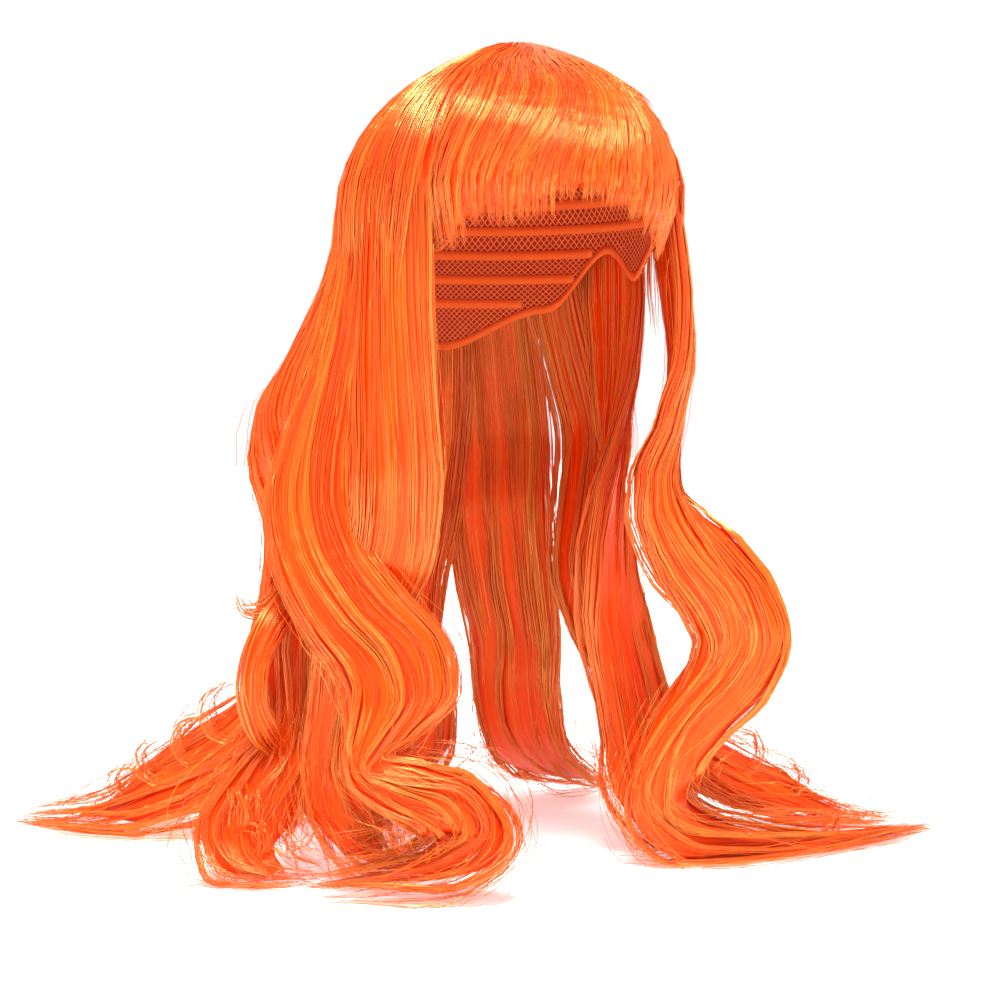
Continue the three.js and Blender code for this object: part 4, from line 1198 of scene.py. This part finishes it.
def net_material(name, thread, painted_shade_between):
    made, tree, shader = new_material(name, thread, 0.85)
    spot = add(tree, "ShaderNodeUVMap", uv_map="OFBake")
    flat = add(tree, "ShaderNodeSeparateXYZ", {0: spot.outputs[0]}).outputs
    round_head = add(tree, "ShaderNodeMath", {0: flat[0], 1: CELLS_ROUND}, operation="MULTIPLY").outputs[0]
    slants = []
    for slope in (CELLS_DOWN, -CELLS_DOWN):
        slanted = add(tree, "ShaderNodeMath", {0: flat[1], 1: slope, 2: round_head}, operation="MULTIPLY_ADD")
        folded = add(tree, "ShaderNodeMath", {0: slanted.outputs[0], 1: 0.5}, operation="PINGPONG")
        slants.append(folded.outputs[0])
    nearest = add(tree, "ShaderNodeMath", {0: slants[0], 1: slants[1]}, operation="MINIMUM")
    gap = add(tree, "ShaderNodeMapRange", {"Value": nearest.outputs[0], "From Min": 0.09, "From Max": 0.17})
    # The colour between the threads is painted shade for the hair behind the net.
    colour = dye_ramp(tree, gap.outputs["Result"], ((0.0, thread), (1.0, painted_shade_between)))
    tree.links.new(colour, shader.inputs["Base Color"])
    relief = {"Height": gap.outputs["Result"], "Strength": 0.7, "Distance": 0.0005}
    bump = add(tree, "ShaderNodeBump", relief, invert=True)
    tree.links.new(bump.outputs[0], shader.inputs["Normal"])
    return made


verts, faces, spots = shell(cap_edge, even(NET_OUTSIDE), even(NET_INSIDE), BODY_FACETS, BODY_RINGS)
# The dark red A42A06 between the threads is painted shade, not the colour of the hair.
net = net_material("elastic net, knitted", "F07A3C", "A42A06")
cap = mesh_piece("net_cap", verts, faces, net, spots)
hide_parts("cap")
print("cap faces:", len(cap.data.polygons))

# %% [markdown]
# ## Sewn rows inside the cap
# The hair is made up as wefts: each is a narrow tape with the fibres sewn along it, and the tapes are
# sewn round the net one above the other. Another tape binds the edge. Inside the cap each tape shows
# as a flat band, so each is a thin closed band that follows the curve of the head.

# %% Tapes
TAPE_HEIGHT = 0.0055
TAPE_WALL = 0.0007
TAPE_OUTSIDE = 0.0004
TAPE_DROPS = (0.022, 0.037, 0.052, 0.067, 0.082, 0.097, 0.112, 0.127)
TAPE_STEP = 3.0
EDGE_HEIGHT = 0.005
EDGE_RAISED = 0.004


def sewn_band(facings, tops, height):
    outside, inside = TAPE_OUTSIDE, TAPE_OUTSIDE - TAPE_WALL
    corners = ((0.0, outside), (0.0, inside), (height, inside), (height, outside))
    rows = [over_head(facings, sweep_at(tops + down), np.full(len(facings), far)) for down, far in corners]
    verts = np.stack(rows, 1).reshape(-1, 3)
    faces = [(0, 1, 2, 3)]
    last = 4 * len(facings) - 4
    for a in range(0, last, 4):
        faces += [(a + c, a + 4 + c, a + 4 + (c + 1) % 4, a + (c + 1) % 4) for c in range(4)]
    faces.append((last + 3, last + 2, last + 1, last))
    return list(verts), faces, []


def tape_row(drop):
    reach = 0.0
    while reach < 180 and cap_edge(180 - reach) > drop + 2 * TAPE_HEIGHT:
        reach += TAPE_STEP
    from_back = np.arange(-reach, reach + 0.1, TAPE_STEP)
    return sewn_band((from_back + 360) % 360 - 180.0, np.full(len(from_back), drop), TAPE_HEIGHT)


round_facings = np.linspace(-180, 180, 97)
edge = np.array([cap_edge(f) for f in round_facings])
binding = sewn_band(round_facings, edge - EDGE_RAISED, EDGE_HEIGHT)
verts, faces, spots = join_bodies([tape_row(drop) for drop in TAPE_DROPS] + [binding])
tape = new_material("weft tape, woven cotton", "F26A22", 0.9)[0]
mesh_piece("weft_tapes", verts, faces, tape)
print("tapes:", len(TAPE_DROPS) + 1)

# %% [markdown]
# ## Studio
# A plain pale table top in a white surround. A broad soft key light from high on the left gives the
# gloss on the crown, and four weak wide ones fill the shade from the front, both sides and the back.
# The paper gives back a little light of its own, as a lit sweep does. The surround shows white, but
# lights less than it shows, so that the shade keeps its depth.

# %% Floor and lights
PAPER_REACH = 6
PAPER_GLOW = 0.4
SURROUND_LIGHT = 0.35

paper, tree, shader = new_material("paper sweep, matt white", "F6F5F3", 0.9)
shader.inputs["Emission Color"].default_value = (1, 1, 1, 1)
shader.inputs["Emission Strength"].default_value = PAPER_GLOW
signs = ((-1, -1), (1, -1), (1, 1), (-1, 1))
corners = [(x * PAPER_REACH, y * PAPER_REACH, FLOOR - 0.0005) for x, y in signs]
floor_mesh = bpy.data.meshes.new("floor")
floor_mesh.from_pydata(corners, [], [(0, 1, 2, 3)])
floor_mesh.materials.append(paper)
floor = bpy.data.objects.new("floor", floor_mesh)
bpy.context.scene.collection.objects.link(floor)

world = bpy.data.worlds.new("studio")
world.use_nodes = True
surround = world.node_tree
seen = add(surround, "ShaderNodeLightPath").outputs["Is Camera Ray"]
level = add(surround, "ShaderNodeMapRange", {"Value": seen, "To Min": SURROUND_LIGHT, "To Max": 1.0})
surround.links.new(level.outputs["Result"], surround.nodes["Background"].inputs["Strength"])
surround.nodes["Background"].inputs["Color"].default_value = (1, 1, 1, 1)
bpy.context.scene.world = world
bpy.context.scene.view_settings.view_transform = "Standard"

LIGHTS = (
    ("key", -32, 68, 5.0, 24),
    ("front fill", -15, 15, 0.6, 60),
    ("left fill", 70, 25, 0.4, 60),
    ("right fill", -110, 25, 0.4, 60),
    ("back", 170, 45, 0.6, 50),
)
for name, facing, height, power, softness in LIGHTS:
    lamp = bpy.data.lights.new(name, "SUN")
    lamp.energy = power
    lamp.angle = math.radians(softness)
    holder = bpy.data.objects.new(name, lamp)
    turn, lift = math.radians(facing), math.radians(height)
    source = Vector((math.sin(turn) * math.cos(lift), -math.cos(turn) * math.cos(lift), math.sin(lift)))
    holder.rotation_euler = (-source).to_track_quat("-Z", "Y").to_euler()
    bpy.context.scene.collection.objects.link(holder)
print("lights:", [row[0] for row in LIGHTS])
